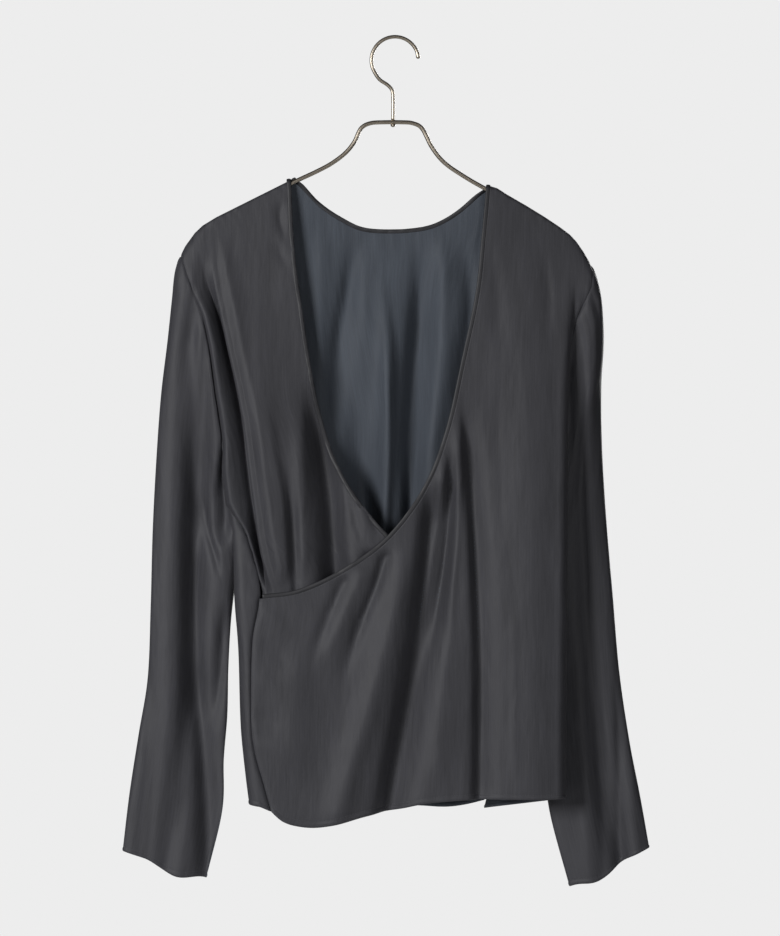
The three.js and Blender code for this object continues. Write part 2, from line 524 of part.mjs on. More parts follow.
// The sleeves: rings from the armhole to the cuff, each between an outer and an inner point
const sleeves = {
  left: {
    outward: -1,
    front: 'leftFront',
    back: 'leftBack',
    behindFold: 0,
    grooveAt: 0.36,
    rings: [
      { at: 0, outX: -214.5, outZ: -219, inX: -165, inZ: -468, y: 3, depth: 8, groove: 0, sag: 0 },
      { at: 0.03, outX: -219, outZ: -236, inX: -165.5, inZ: -473, y: 4, depth: 10, groove: 1, sag: 0 },
      { at: 0.07, outX: -221.5, outZ: -259, inX: -166, inZ: -480, y: 6, depth: 12, groove: 2, sag: 0 },
      { at: 0.15, outX: -226.5, outZ: -304, inX: -164, inZ: -497, y: 9, depth: 14, groove: 5, sag: 0 },
      { at: 0.24, outX: -233, outZ: -356, inX: -160.5, inZ: -518, y: 12, depth: 15, groove: 8, sag: 0 },
      { at: 0.34, outX: -237.5, outZ: -415, inX: -160, inZ: -545, y: 13, depth: 15, groove: 9, sag: 0 },
      { at: 0.46, outX: -241.5, outZ: -492, inX: -163.5, inZ: -586, y: 12, depth: 15, groove: 9, sag: 0 },
      { at: 0.58, outX: -243.5, outZ: -571, inX: -166, inZ: -633, y: 10, depth: 14, groove: 8, sag: 0 },
      { at: 0.7, outX: -246.5, outZ: -643, inX: -167, inZ: -680, y: 9, depth: 13, groove: 8, sag: 0 },
      { at: 0.8, outX: -255.5, outZ: -699, inX: -170.5, inZ: -724, y: 8, depth: 12, groove: 8, sag: 1 },
      { at: 0.9, outX: -264.5, outZ: -757, inX: -172, inZ: -775, y: 8, depth: 11, groove: 7, sag: 4 },
      { at: 1, outX: -271.5, outZ: -815.5, inX: -188, inZ: -842.5, y: 8, depth: 10, groove: 6, sag: 8 },
    ],
  },
  right: {
    outward: 1,
    front: 'rightFront',
    back: 'rightBack',
    behindFold: 1,
    grooveAt: 0.36,
    rings: [
      { at: 0, outX: 200, outZ: -228, inX: 163, inZ: -452, y: 5, depth: 9, groove: 0, sag: 0 },
      { at: 0.03, outX: 205.5, outZ: -243, inX: 164, inZ: -458, y: 8, depth: 10, groove: 0, sag: 0 },
      { at: 0.07, outX: 209.5, outZ: -262, inX: 165, inZ: -466, y: 11, depth: 12, groove: 1, sag: 0 },
      { at: 0.15, outX: 212, outZ: -302, inX: 164, inZ: -486, y: 17, depth: 13, groove: 2, sag: 0 },
      { at: 0.24, outX: 210, outZ: -350, inX: 159, inZ: -512, y: 23, depth: 14, groove: 4, sag: 0 },
      { at: 0.34, outX: 211, outZ: -410, inX: 154, inZ: -543, y: 27, depth: 14, groove: 5, sag: 0 },
      { at: 0.46, outX: 215.5, outZ: -485, inX: 152, inZ: -587, y: 29, depth: 14, groove: 5, sag: 0 },
      { at: 0.58, outX: 222, outZ: -561, inX: 150.5, inZ: -634, y: 29, depth: 13, groove: 5, sag: 0 },
      { at: 0.7, outX: 228.5, outZ: -637, inX: 151, inZ: -685, y: 29, depth: 12, groove: 6, sag: 0 },
      { at: 0.8, outX: 238.5, outZ: -706, inX: 153.5, inZ: -731, y: 28, depth: 11, groove: 7, sag: 1 },
      { at: 0.9, outX: 249.5, outZ: -763, inX: 159, inZ: -780, y: 27, depth: 10, groove: 7, sag: 4 },
      { at: 1, outX: 258.5, outZ: -814, inX: 178.5, inZ: -853, y: 26, depth: 9, groove: 7, sag: 8 },
    ],
  },
};
const SLEEVE_STATIONS = [0, 0.03, 0.07, 0.12, 0.18, 0.25, 0.33, 0.42, 0.51, 0.6, 0.68, 0.76, 0.84, 0.92, 1];
const GROOVE_WIDTH = 0.13;
const SAG_START = 0.25;
const UNDERARM_APART = 1.8;
const UNDERARM_RETURN = 0.8;
const SLEEVE_SEAM_GAP = 0.4;

function sleeveOval(sleeve, at, angle) {
  const ring = (column) => read(sleeve.rings, 'at', at, column);
  const across = (1 - Math.cos(angle)) / 2;
  const front = Math.sin(angle);
  const dent = Math.exp(-(((across - sleeve.grooveAt) / GROOVE_WIDTH) ** 2));
  const groove = front > 0 ? ring('groove') * dent : 0;
  const flattened = Math.sign(front) * Math.abs(front) ** 0.8;
  const sagged = clamp01((across - SAG_START) / (1 - SAG_START));
  return new THREE.Vector3(
    mix(ring('outX'), ring('inX'), across),
    ring('y') - ring('depth') * flattened + groove,
    mix(ring('outZ'), ring('inZ'), across) - ring('sag') * Math.sin(Math.PI * sagged) ** 2,
  );
}

Object.entries(sleeves).forEach(([side, sleeve]) => {
  const steps = ARMHOLE_ROWS.length - 1;
  const frontSeam = armholePoints[sleeve.front];
  const backSeam = armholePoints[sleeve.back].slice(1, -1).reverse();
  const seamLoop = [...frontSeam, ...backSeam].map((point, k) => {
    const down = k <= steps ? ARMHOLE_ROWS[k] : ARMHOLE_ROWS[2 * steps - k];
    const moved = point.clone();
    const inFront = k <= steps;
    const apart = UNDERARM_APART * (inFront ? 1 - sleeve.behindFold : 1);
    moved.x += sleeve.outward * (SLEEVE_SEAM_GAP + apart * down ** 3);
    const backOff = ease(0.1, 0.5, down) * (1 - UNDERARM_RETURN * ease(0.6, 0.95, down));
    moved.y += inFront ? sleeve.behindFold * UNDERARM_APART * backOff : 0;
    return moved;
  });
  const angles = seamLoop.map((_, k) => Math.PI * k / steps);
  const slide = seamLoop.map((point, k) => point.clone().sub(sleeveOval(sleeve, 0, angles[k])));
  const grid = SLEEVE_STATIONS.map((at) => angles.map((angle, k) => {
    return sleeveOval(sleeve, at, angle).addScaledVector(slide[k], 1 - ease(0, 0.3, at));
  }));
  addPiece(`sleeve_${side}`, wall(grid, { around: true, hem: true }), SATIN);
});

// The rolled bindings of the three neck edges
const neckRows = rowStations.filter((at) => at <= NECK_END + 0.001).length;
const columnOf = (grid, j) => grid.slice(0, neckRows).map((row) => row.at(j));
const frontBinding = (grid, j, side) => rollAlong(columnOf(grid, j), columnOf(normalsOf(grid), j), side);
addPiece('neck_binding_over', frontBinding(overGrid, 0, -1), BINDING);
addPiece('neck_binding_under', frontBinding(underGrid, -1, 1), BINDING);

const neckFrom = BACK_SIDE_COLUMNS + backTopColumns.indexOf(backNeckEdge[0].x);
const neckTo = BACK_SIDE_COLUMNS + backTopColumns.indexOf(backNeckEdge.at(-1).x) + 1;
const backNormals = normalsOf(backGrid)[0].slice(neckFrom, neckTo);
addPiece('neck_binding_back', rollAlong(backGrid[0].slice(neckFrom, neckTo), backNormals, 1), BINDING);

// The wire hanger: a bent bar, a hook and the rivet that holds the hook
const BAR_TOP_Z = -84;
const barPath = [
  { x: -184, z: shoulderZ(-184) - BAR_TO_SHOULDER - 0.5 },
  { x: -145, z: shoulderZ(-145) - BAR_TO_SHOULDER }, { x: -99, z: shoulderZ(-99) - BAR_TO_SHOULDER },
  { x: -78, z: -134 }, { x: -62, z: -125.5 }, { x: -48, z: -115 }, { x: -39, z: -104 }, { x: -32, z: -90 },
  { x: -23, z: -85 }, { x: -10, z: BAR_TOP_Z }, { x: 10, z: BAR_TOP_Z }, { x: 20, z: -85 },
  { x: 29, z: -90 }, { x: 39, z: -109 }, { x: 51, z: -124 }, { x: 70, z: -137.5 },
  { x: 93, z: shoulderZ(93) - BAR_TO_SHOULDER }, { x: 139, z: shoulderZ(139) - BAR_TO_SHOULDER },
  { x: 179, z: shoulderZ(179) - BAR_TO_SHOULDER - 1.5 },
];

function wireAlong(path, radius, steps) {
  const sides = 8;
  const acrossPlane = new THREE.Vector3(0, 1, 0);
  return sweep(Array.from({ length: steps + 1 }, (_, i) => {
    const inPlane = path.getTangentAt(i / steps).cross(acrossPlane);
    return Array.from({ length: sides }, (__, s) => {
      const angle = 2 * Math.PI * s / sides;
      return path.getPointAt(i / steps)
        .addScaledVector(inPlane, Math.cos(angle) * radius)
        .addScaledVector(acrossPlane, Math.sin(angle) * radius);
    });
  }));
}
const barCurve = new THREE.CatmullRomCurve3(barPath.map(vec), false, 'centripetal');
addPiece('hanger_bar', wireAlong(barCurve, BAR_RADIUS, 52), WIRE);

const HOOK_RADIUS = 23.7;
const HOOK_CENTRE_X = 2;
const hookCentreZ = -Math.sqrt((HOOK_RADIUS - HOOK_WIRE_RADIUS) ** 2 - HOOK_CENTRE_X ** 2);
const hookTurn = Array.from({ length: 12 }, (_, k) => {
  const angle = THREE.MathUtils.degToRad(mix(4, 208, k / 11));
  return {
    x: HOOK_CENTRE_X + HOOK_RADIUS * Math.cos(angle),
    z: hookCentreZ + HOOK_RADIUS * Math.sin(angle),
  };
});
const hookPath = [
  ...hookTurn, { x: -13.5, z: -41 }, { x: -5.5, z: -46.5 }, { x: -0.8, z: -52 }, { x: 0, z: -60 },
  { x: 0, z: BAR_TOP_Z + BAR_RADIUS + SEAM_GAP },
];
const hookCurve = new THREE.CatmullRomCurve3(hookPath.map(vec), false, 'centripetal');
addPiece('hanger_hook', wireAlong(hookCurve, HOOK_WIRE_RADIUS, 40), WIRE);

const RIVET_RADIUS = 2.4;
const rivetTop = BAR_TOP_Z - BAR_RADIUS - SEAM_GAP;
const rivetProfile = [
  [0, 0], [RIVET_RADIUS, 0], [RIVET_RADIUS, -1.2], [RIVET_RADIUS * 0.6, -2.4], [0, -2.8],
];
const rivet = addPiece('hanger_rivet', new THREE.LatheGeometry(rivetProfile.map(([r, y]) => {
  return new THREE.Vector2(r, y);
}).reverse(), 10), WIRE);
rivet.rotation.x = Math.PI / 2;
rivet.position.z = rivetTop;

export default top;
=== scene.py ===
import bpy
import numpy as np
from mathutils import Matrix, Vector


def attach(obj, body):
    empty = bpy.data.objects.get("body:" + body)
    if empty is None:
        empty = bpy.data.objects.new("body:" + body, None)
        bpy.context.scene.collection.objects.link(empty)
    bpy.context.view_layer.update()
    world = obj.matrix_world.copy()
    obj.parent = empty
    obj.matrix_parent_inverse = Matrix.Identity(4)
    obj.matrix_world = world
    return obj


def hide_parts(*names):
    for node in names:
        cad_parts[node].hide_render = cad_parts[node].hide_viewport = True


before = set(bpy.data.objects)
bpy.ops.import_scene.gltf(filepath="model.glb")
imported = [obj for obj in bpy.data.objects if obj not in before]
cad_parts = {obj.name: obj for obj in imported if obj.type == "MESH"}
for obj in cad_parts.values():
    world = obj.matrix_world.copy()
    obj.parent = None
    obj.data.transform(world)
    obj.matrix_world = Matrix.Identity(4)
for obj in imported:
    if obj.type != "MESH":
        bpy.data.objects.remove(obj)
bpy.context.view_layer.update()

# The back panel
# One piece of polyester satin from both shoulders to the hem, its dull reverse turned inwards, where
# the open neck shows it. Its left side comes round the fold and is sewn to the fronts beside it.

# Places are (x, y, z) or (x, z) in millimetres: x to the right, y to the back and z up from the hook
MM = 0.001
CLOTH = 0.8
BAR_TO_SHOULDER = 3.8
OVER_BAR_Y = 3.5
ARMHOLE_END = 0.42
HEM_TURN = 4.6
PANEL_LENGTH = 560


def mix(a, b, t):
    return a + (b - a) * t


def ease(low, high, t):
    s = np.clip((t - low) / (high - low), 0, 1)
    return s * s * (3 - 2 * s)


def bell(x, middle, width):
    return np.exp(-(((x - middle) / width) ** 2))


def read(table, at, column, key=0):
    """One column of a table at values of its key column, on a smooth curve through the rows."""
    rows = np.asarray(table, float)
    if rows[-1, key] < rows[0, key]:
        rows = rows[::-1]
    keys, values = rows[:, key], rows[:, column]
    slopes = np.empty(len(keys))
    slopes[1:-1] = (values[2:] - values[:-2]) / (keys[2:] - keys[:-2])
    slopes[0] = (values[1] - values[0]) / (keys[1] - keys[0])
    slopes[-1] = (values[-1] - values[-2]) / (keys[-1] - keys[-2])
    at = np.clip(at, keys[0], keys[-1])
    i = np.clip(np.searchsorted(keys, at) - 1, 0, len(keys) - 2)
    span = keys[i + 1] - keys[i]
    t = (at - keys[i]) / span
    start = 2 * t**3 - 3 * t**2 + 1
    pull = (t**3 - 2 * t**2 + t) * span * slopes[i] + (t**3 - t**2) * span * slopes[i + 1]
    return start * values[i] + (1 - start) * values[i + 1] + pull


def run_lengths(points, axis=0):
    """How far each point of a line, or of each line of a grid along axis, is from that line's start."""
    steps = np.linalg.norm(np.diff(points, axis=axis), axis=-1)
    return np.insert(np.cumsum(steps, axis=axis), 0, 0, axis=axis)


def unit(vectors):
    return vectors / np.linalg.norm(vectors, axis=-1, keepdims=True)


def resample(path, shares):
    """Points at these shares of the length of a path made of straight pieces."""
    length = run_lengths(path)
    at = np.asarray(shares) * length[-1]
    return np.column_stack([np.interp(at, length, column) for column in path.T])


def smooth_path(points, shares):
    points = np.asarray(points, float)
    steps = np.sqrt(np.linalg.norm(np.diff(points, axis=0), axis=1))
    knots = np.concatenate([[0], np.cumsum(steps)])
    table = np.column_stack([knots, points])
    fine = np.linspace(0, knots[-1], 40 * len(points))
    columns = [read(table, fine, c + 1) for c in range(points.shape[1])]
    return resample(np.column_stack(columns), shares)


SHOULDER_LINE = np.array([
    (-214.5, -219), (-209, -208), (-199.5, -195), (-191.5, -187.5), (-177, -179), (-145, -163), (-99, -140),
    (93, -147), (105, -150.5), (115, -157), (134, -168), (152, -179), (167, -189), (178, -197), (184, -203),
    (191.5, -213.5), (200, -228),
], float)


def shoulder_z(x):
    return np.interp(x, SHOULDER_LINE[:, 0], SHOULDER_LINE[:, 1])


def stand_off(x, z, fullness, reach):
    """How far cloth stands from the hanger's plane: over the bar first, then swelling by fullness."""
    drop = np.maximum(shoulder_z(x) - z, 0)
    over_bar = np.sqrt(1 - (1 - np.minimum(drop / BAR_TO_SHOULDER, 1)) ** 2)
    return OVER_BAR_Y * over_bar + fullness * (1 - np.exp(-np.maximum(drop - BAR_TO_SHOULDER, 0) / reach))


CREASE_POINTS = 16
CREASE_FLANKS = 1.7


def creases(x, z, lines):
    """Soft ridges (troughs where rise is below 0) along smooth lines. lean makes one flank steeper, the
    right one where it is below 0. Each grows and dies away over the shares starts and ends of its line."""
    total = np.zeros(np.broadcast(x, z).shape)
    for line, width, rise, lean, starts, ends in lines:
        path = smooth_path(line, np.linspace(0, 1, CREASE_POINTS))
        nearest = np.full(total.shape, 1e9)
        side = np.zeros(total.shape)
        share = np.zeros(total.shape)
        for k in range(len(path) - 1):
            ax, az = path[k]
            dx, dz = path[k + 1] - path[k]
            t = np.clip(((x - ax) * dx + (z - az) * dz) / (dx * dx + dz * dz), 0, 1)
            away = np.hypot(x - ax - t * dx, z - az - t * dz)
            nearer = away < nearest
            nearest = np.where(nearer, away, nearest)
            side = np.where(nearer, np.sign(dx * (z - az) - dz * (x - ax)), side)
            share = np.where(nearer, (k + t) / (len(path) - 1), share)
        fade = ease(0, starts, share) * (1 - ease(1 - ends, 1, share))
        total += rise * fade * np.exp(-((nearest / (width * (1 + lean * side))) ** CREASE_FLANKS))
    return total


# Creases of the back, each a line of (x, z) points with its width, rise, lean, starts and ends. A rise
# below 0 comes forward, into the top. Those between x -80 and 80 show inside the neck.
BACK_CREASES = [
    (((-37, -190), (-45, -250), (-54, -300), (-59, -370), (-62, -430)), 10, 9, 0.25, 0.25, 0.4),
    (((-70, -180), (-72, -240), (-74, -320), (-72, -420)), 9, -3.5, 0, 0.2, 0.5),
    (((-14, -215), (-6, -290), (-5, -360), (-6, -430), (-10, -520), (-12, -640)), 6.5, -13, -0.2, 0.35, 0.3),
    (((28, -190), (26, -260), (20, -340), (16, -420), (17, -500), (12, -620), (14, -700)),
     12, 19, 0.3, 0.22, 0.5),
    (((-32, -205), (-30, -260), (-26, -320)), 9, -2.5, 0, 0.3, 0.5),
    (((-38, -320), (-36, -400), (-28, -470), (-24, -620), (-26, -780)), 20, 21, 0.1, 0.3, 0.6),
    (((48, -188), (50, -270), (44, -350), (36, -420), (30, -500)), 9, -6.5, 0.2, 0.15, 0.3),
    (((74, -200), (78, -270), (70, -340), (60, -430)), 8, 5, 0, 0.2, 0.4),
    (((-96, -200), (-98, -500), (-116, -800)), 20, -4, 0.15, 0.2, 0.2),
    (((112, -230), (104, -420), (94, -640)), 18, 4, -0.2, 0.2, 0.3),
    (((-150, -300), (-146, -520), (-136, -800)), 16, 4, 0.2, 0.2, 0.2),
    (((-34, -560), (-26, -700), (-34, -800)), 13, 4, -0.2, 0.3, 0),
    (((40, -520), (36, -700), (42, -800)), 12, 4.2, 0.2, 0.3, 0),
    (((-72, -610), (-78, -720), (-76, -800)), 10, 3, 0.1, 0.3, 0),
    (((6, -600), (2, -700), (6, -800)), 12, -4, 0.1, 0.3, 0),
    (((140, -260), (134, -430), (112, -620)), 13, -4, 0.2, 0.2, 0.3),
    (((150, -420), (120, -480), (84, -500)), 9, 2, 0, 0.2, 0.4),
]
# Little gathers where the back's top edge is eased into its binding: x, width and rise
NECK_GATHERS = [
    (-30, 1.8, 0.9), (-22, 1.6, 0.7), (-5, 1.7, 0.8), (4, 1.5, 1.1), (9, 1.5, 1.2), (14, 1.6, 1.1),
    (21, 1.8, 1),
]
GATHERS_BELOW = (-192, -198)
GATHERS_ABOVE = (-222, -200)
BACK_FULLNESS = 6.5
BACK_SWELLS_OVER = 90
BACK_CREASED_BELOW = 50
BACK_CREASED_WITHIN = (190, 130)


def back_y(x, z):
    settled = ease(0, BACK_CREASED_BELOW, shoulder_z(x) - z) * ease(*BACK_CREASED_WITHIN, np.abs(x))
    gathers = sum(rise * bell(x, middle, width) for middle, width, rise in NECK_GATHERS)
    near_binding = ease(*GATHERS_BELOW, z) * ease(*GATHERS_ABOVE, z)
    full = stand_off(x, z, BACK_FULLNESS, BACK_SWELLS_OVER)
    return full + creases(x, z, BACK_CREASES) * settled + gathers * near_binding


# The side seams, as share of a panel's length with x, y and z, and the armhole seams above them
LEFT_SEAM = [
    (0.42, -165, 3, -468), (0.48, -150, 0, -492), (0.54, -139, -5, -525), (0.6, -133, -12, -559),
    (0.68, -140, -13, -603), (0.8, -141.5, -13, -670), (0.88, -139, -13, -710), (0.96, -127, -14, -754),
    (1, -121, -14, -775),
]
RIGHT_SEAM = [
    (0.42, 163, 9, -452), (0.55, 148, 9, -524), (0.7, 129, 9.5, -608), (0.85, 111, 10, -692),
    (1, 92, 10, -768.5),
]
RIGHT_SEAM_STEP = 4
STEP_GROWS_OVER = (0.85, 1)
ARMHOLES = {
    "left front": [
        (-214.5, 0, -219), (-211, -5, -225), (-205, -8, -241), (-192, -8, -277), (-184, -7, -314),
        (-179, -5, -352), (-173, -2, -393), (-169, 0, -433), (-165, 3, -468),
    ],
    "left back": [
        (-214.5, 0, -219), (-214.5, 5, -226), (-212, 9, -243), (-203, 12, -285), (-194, 13, -330),
        (-184, 13, -380), (-174, 11, -428), (-165, 3, -468),
    ],
    "right front": [
        (200, 0, -228), (200.5, -5, -236), (198, -8, -252), (189, -7, -270), (180, -4, -294),
        (172, 1, -345), (167, 5, -405), (163, 9, -452),
    ],
    "right back": [
        (200, 0, -228), (201, 5, -236), (200, 9, -254), (196, 13, -290), (187, 15, -340),
        (176, 14, -400), (163, 9, -452),
    ],
}

# Rows of a panel as shares of its length: close together over the bar and along the turned hem
FIRST_ROW = 0.004
ARMHOLE_CROWDING = 1.5
ARMHOLE_SHARES = np.append(0, FIRST_ROW + (1 - FIRST_ROW) * np.linspace(0, 1, 61) ** ARMHOLE_CROWDING)
HEM_ROWS = np.array([12, 9, 7, 6, 5.3, 4.6, 3.9, 3, 2, 1, 0])
ABOVE_HEM = 16
ROWS = np.concatenate([
    ARMHOLE_END * ARMHOLE_SHARES,
    np.linspace(ARMHOLE_END, 1 - ABOVE_HEM / PANEL_LENGTH, 78)[1:],
    1 - HEM_ROWS / PANEL_LENGTH,
])


def seam_points(armhole, seam):
    above = smooth_path(ARMHOLES[armhole], ARMHOLE_SHARES)
    below = ROWS[len(ARMHOLE_SHARES):]
    return np.vstack([above, np.column_stack([read(seam, below, c) for c in (1, 2, 3)])])


SIDE_CROWDING = 1.3
SIDE_FOLLOWS_SHOULDER = (0.01, 0.12)
BEHIND_DROP = 0.25
TUCK_DEPTH = 23
TUCK_CREST = 0.78
TUCK_VALLEY = 1.6
LIP_INSET = 4
LIP_UNDERCUT = 1.5
LIP_ROUND = 5


def turned_side(at, start, fold, seam, count, tuck=0, ridge=0):
    """The side of one row: from the flat part it turns round a fold and runs on to a seam. tuck (0 to 1)
    rolls the fold's lip over the cloth beyond it. There the cloth dips and then climbs to a crest beside
    the seam, which ridge brings forward."""
    outward = np.sign(fold[0] - start[0])
    reaches = outward * (seam[0] - start[0]) > 0
    round_end = seam[0] if reaches else start[0]
    pull = (8 * fold[0] - start[0] - round_end) / 6
    end_z = seam[2] if reaches else mix(fold[1], seam[2], BEHIND_DROP)
    t = np.linspace(0, 1, 61)
    x = (1 - t) ** 3 * start[0] + 3 * (1 - t) * t * pull + t**3 * round_end
    y = mix(start[1], seam[1], ease(0, 1, t))
    z = mix(start[2], end_z, t) + 4 * t * (1 - t) * (fold[1] - (start[2] + end_z) / 2)
    z = np.minimum(z, np.maximum(shoulder_z(x), end_z))
    drops = mix(shoulder_z(start[0]) - start[2], shoulder_z(round_end) - end_z, t)
    z = mix(shoulder_z(x) - drops, z, ease(*SIDE_FOLLOWS_SHOULDER, at))
    path = np.column_stack([x, y, z])
    if not reaches:
        path = np.vstack([path, seam])
    shares = (np.arange(1, count + 1) / count) ** SIDE_CROWDING
    plain = resample(path, shares)
    if tuck == 0:
        return plain
    lip = fold[0] - LIP_INSET * outward
    under_lip = lip - LIP_UNDERCUT * outward
    rolled = np.array([
        (start[0], start[1]), (mix(start[0], lip, 0.7), start[1] + LIP_ROUND / 10),
        (lip, start[1] + LIP_ROUND / 2), (under_lip, start[1] + LIP_ROUND),
        (under_lip, start[1] + TUCK_DEPTH * 0.8),
    ])
    u = np.linspace(0.06, 1, 24)
    deep = start[1] + TUCK_DEPTH
    crest_y = mix(deep, seam[1], TUCK_CREST) - ridge
    climbs = 1 - np.clip(1 - u / TUCK_CREST, 0, 1) ** TUCK_VALLEY
    beyond_y = mix(mix(deep, crest_y, climbs), seam[1], ease(TUCK_CREST, 1, u))
    beyond = np.column_stack([mix(lip, seam[0], u), beyond_y])
    tucked = resample(np.vstack([rolled, beyond]), shares)
    tucked_z = np.interp(tucked[:, 0] * outward, path[:, 0] * outward, path[:, 2])
    return mix(plain, np.column_stack([tucked, tucked_z]), tuck)


def normals_of(grid, around=False):
    """Unit normals of a grid, kept upright on the shoulder seam so that front and back meet."""
    if around:
        across = np.roll(grid, -1, axis=1) - np.roll(grid, 1, axis=1)
    else:
        across = np.gradient(grid, axis=1)
    normal = np.cross(across, np.gradient(grid, axis=0))
    if not around:
        on_seam = np.abs(grid[0, :, 1]) < 1
        normal[0, on_seam, 1] = 0
    return unit(normal)


def linear(hex_colour):
    """A #rrggbb colour as the linear numbers that Blender's sockets take."""
    channels = [int(hex_colour[i:i + 2], 16) / 255 for i in (1, 3, 5)]
    return [c / 12.92 if c <= 0.04045 else ((c + 0.055) / 1.055) ** 2.4 for c in channels] + [1]


def add_node(tree, kind, settings=(), **links):
    """Adds a node, sets its properties and sockets by name, and links its inputs to other sockets."""
    made = tree.nodes.new(kind)
    for name, value in dict(settings).items():
        if hasattr(made, name):
            setattr(made, name, value)
        else:
            made.inputs[name].default_value = value
    for name, source in links.items():
        tree.links.new(source, made.inputs[name.replace("_", " ")])
    return made


def new_material(name):
    material = bpy.data.materials.new(name)
    material.use_nodes = True
    tree = material.node_tree
    tree.nodes.clear()
    surface = tree.nodes.new("ShaderNodeBsdfPrincipled")
    output = tree.nodes.new("ShaderNodeOutputMaterial")
    tree.links.new(surface.outputs["BSDF"], output.inputs["Surface"])
    return material, tree, surface


def tinted(tree, surface, factor, dark, light, ends=(0, 1)):
    """Colours a surface from dark to light as factor goes from one end to the other."""
    ramp = add_node(tree, "ShaderNodeValToRGB", (), Fac=factor)
    for stop, end, colour in zip(ramp.color_ramp.elements, ends, (dark, light)):
        stop.position = end
        stop.color = linear(colour)
    tree.links.new(ramp.outputs["Color"], surface.inputs["Base Color"])


def drawn_out(tree, size_mm, settings):
    """Noise whose cells are this many millimetres across and down the cloth or round and along a wire."""
    uv = add_node(tree, "ShaderNodeUVMap", {"uv_map": "cut"})
    scale = (1 / size_mm[0], 1 / size_mm[1], 1)
    scaled = add_node(tree, "ShaderNodeMapping", {"Scale": scale}, Vector=uv.outputs["UV"])
    settings = {"Scale": 1.0, **settings}
    return add_node(tree, "ShaderNodeTexNoise", settings, Vector=scaled.outputs["Vector"]).outputs["Fac"]


# Sizes of the satin's patterns across and down the cloth, and the depths of their relief. The yarns are
# drawn several times coarser than real ones, which would be finer than the picture can show.
YARN_SIZE = (1.1, 55)
CLOUD_SIZE = (26, 90)
RUMPLE_SIZE = (9, 30)
CLOUD_DEPTH = 1.7
RUMPLE_DEPTH = 0.5
YARN_DEPTH = 0.08
CLOTH_NOISE = {"Detail": 2.0, "Roughness": 0.55}


def satin(name, dark, light, gloss, grain):
    """Warp-faced satin: its long floats give a soft gloss, and uneven yarns show as faint streaks."""
    material, tree, surface = new_material(name)
    sizes = (YARN_SIZE, CLOUD_SIZE, RUMPLE_SIZE)
    yarn, cloudy, rumpled = (drawn_out(tree, size, CLOTH_NOISE) for size in sizes)
    shade = add_node(tree, "ShaderNodeMix", {"data_type": "FLOAT", "Factor": 0.35}, A=yarn, B=cloudy)
    tinted(tree, surface, shade.outputs["Result"], dark, light, (0.34, 0.66))
    spread_of_gloss = {"From Min": 0.3, "From Max": 0.7, "To Min": gloss - 0.04, "To Max": gloss + 0.05}
    rough = add_node(tree, "ShaderNodeMapRange", spread_of_gloss, Value=yarn)
    tree.links.new(rough.outputs["Result"], surface.inputs["Roughness"])
    layers = ((cloudy, CLOUD_DEPTH, 1), (rumpled, RUMPLE_DEPTH, 1), (yarn, YARN_DEPTH, grain))
    relief = {}
    for height, depth, strength in layers:
        bump = add_node(
            tree, "ShaderNodeBump", {"Strength": strength, "Distance": depth * MM}, Height=height, **relief
        )
        relief = {"Normal": bump.outputs["Normal"]}
    tree.links.new(relief["Normal"], surface.inputs["Normal"])
    return material, surface


# The face is a smooth near-black with a low broad gloss. The reverse, which shows inside the neck, is
# duller and a little bluer and paler, as its short floats scatter the light.
outer_satin, outer_surface = satin("charcoal satin, face side", "#343438", "#3f3f44", 0.6, 0.5)
outer_surface.inputs["Specular IOR Level"].default_value = 0.34
outer_surface.inputs["Sheen Weight"].default_value = 0.05
outer_surface.inputs["Sheen Roughness"].default_value = 0.4
inner_satin, inner_surface = satin("charcoal satin, dull reverse", "#40454d", "#4a5059", 0.66, 0.4)
inner_surface.inputs["Specular IOR Level"].default_value = 0.3
inner_surface.inputs["Sheen Weight"].default_value = 0.08


def add_mesh(name, points, faces, materials, uv=None, face_material=None):
    """A smooth mesh in metres from points in millimetres and faces that turn outwards."""
    points = np.asarray(points, float)
    mesh = bpy.data.meshes.new(name)
    mesh.from_pydata((points * MM).tolist(), [], [list(map(int, face)) for face in faces])
    for material in materials:
        mesh.materials.append(material)
    if face_material is not None:
        mesh.polygons.foreach_set("material_index", np.asarray(face_material, np.int32))
    mesh.polygons.foreach_set("use_smooth", np.ones(len(mesh.polygons), bool))
    if uv is not None:
        layer = mesh.uv_layers.new(name="cut")
        layer.data.foreach_set("uv", np.asarray(uv, np.float32).ravel())
    mesh.update()
    piece = bpy.data.objects.new(name, mesh)
    bpy.context.scene.collection.objects.link(piece)
    return piece


def signed_volume(points, quads):
    a, b, c, d = (points[quads[:, k]] for k in range(4))
    return float(np.sum(a * np.cross(b, c)) + np.sum(a * np.cross(c, d)))


# How deep and how far from it a seam draws the cloth in, and the uneven puckers along it, whose waves
# each have a size, a length, a swing and a length of that swing
SEAM_DRAW = 1.0
SEAM_DRAW_REACH = 2.2
SEAM_PUCKER = 0.32
SEAM_PUCKER_REACH = 6.5
SEAM_WAVES = ((1, 1.9, 2.2, 11), (0.7, 3.1, 1.7, 17))
HEM_PUFF = 0.5
HEM_PUFF_FROM_EDGE = 2
HEM_PUFF_WIDTH = 1.7
STITCH_DENT = 0.22
STITCH_DENT_WIDTH = 0.6
RIM_REACH = 0.45
outer_faces = {}


def ripples(run, waves):
    return sum(
        size * np.sin(run / length + swing * np.sin(run / drift)) for size, length, swing, drift in waves
    )


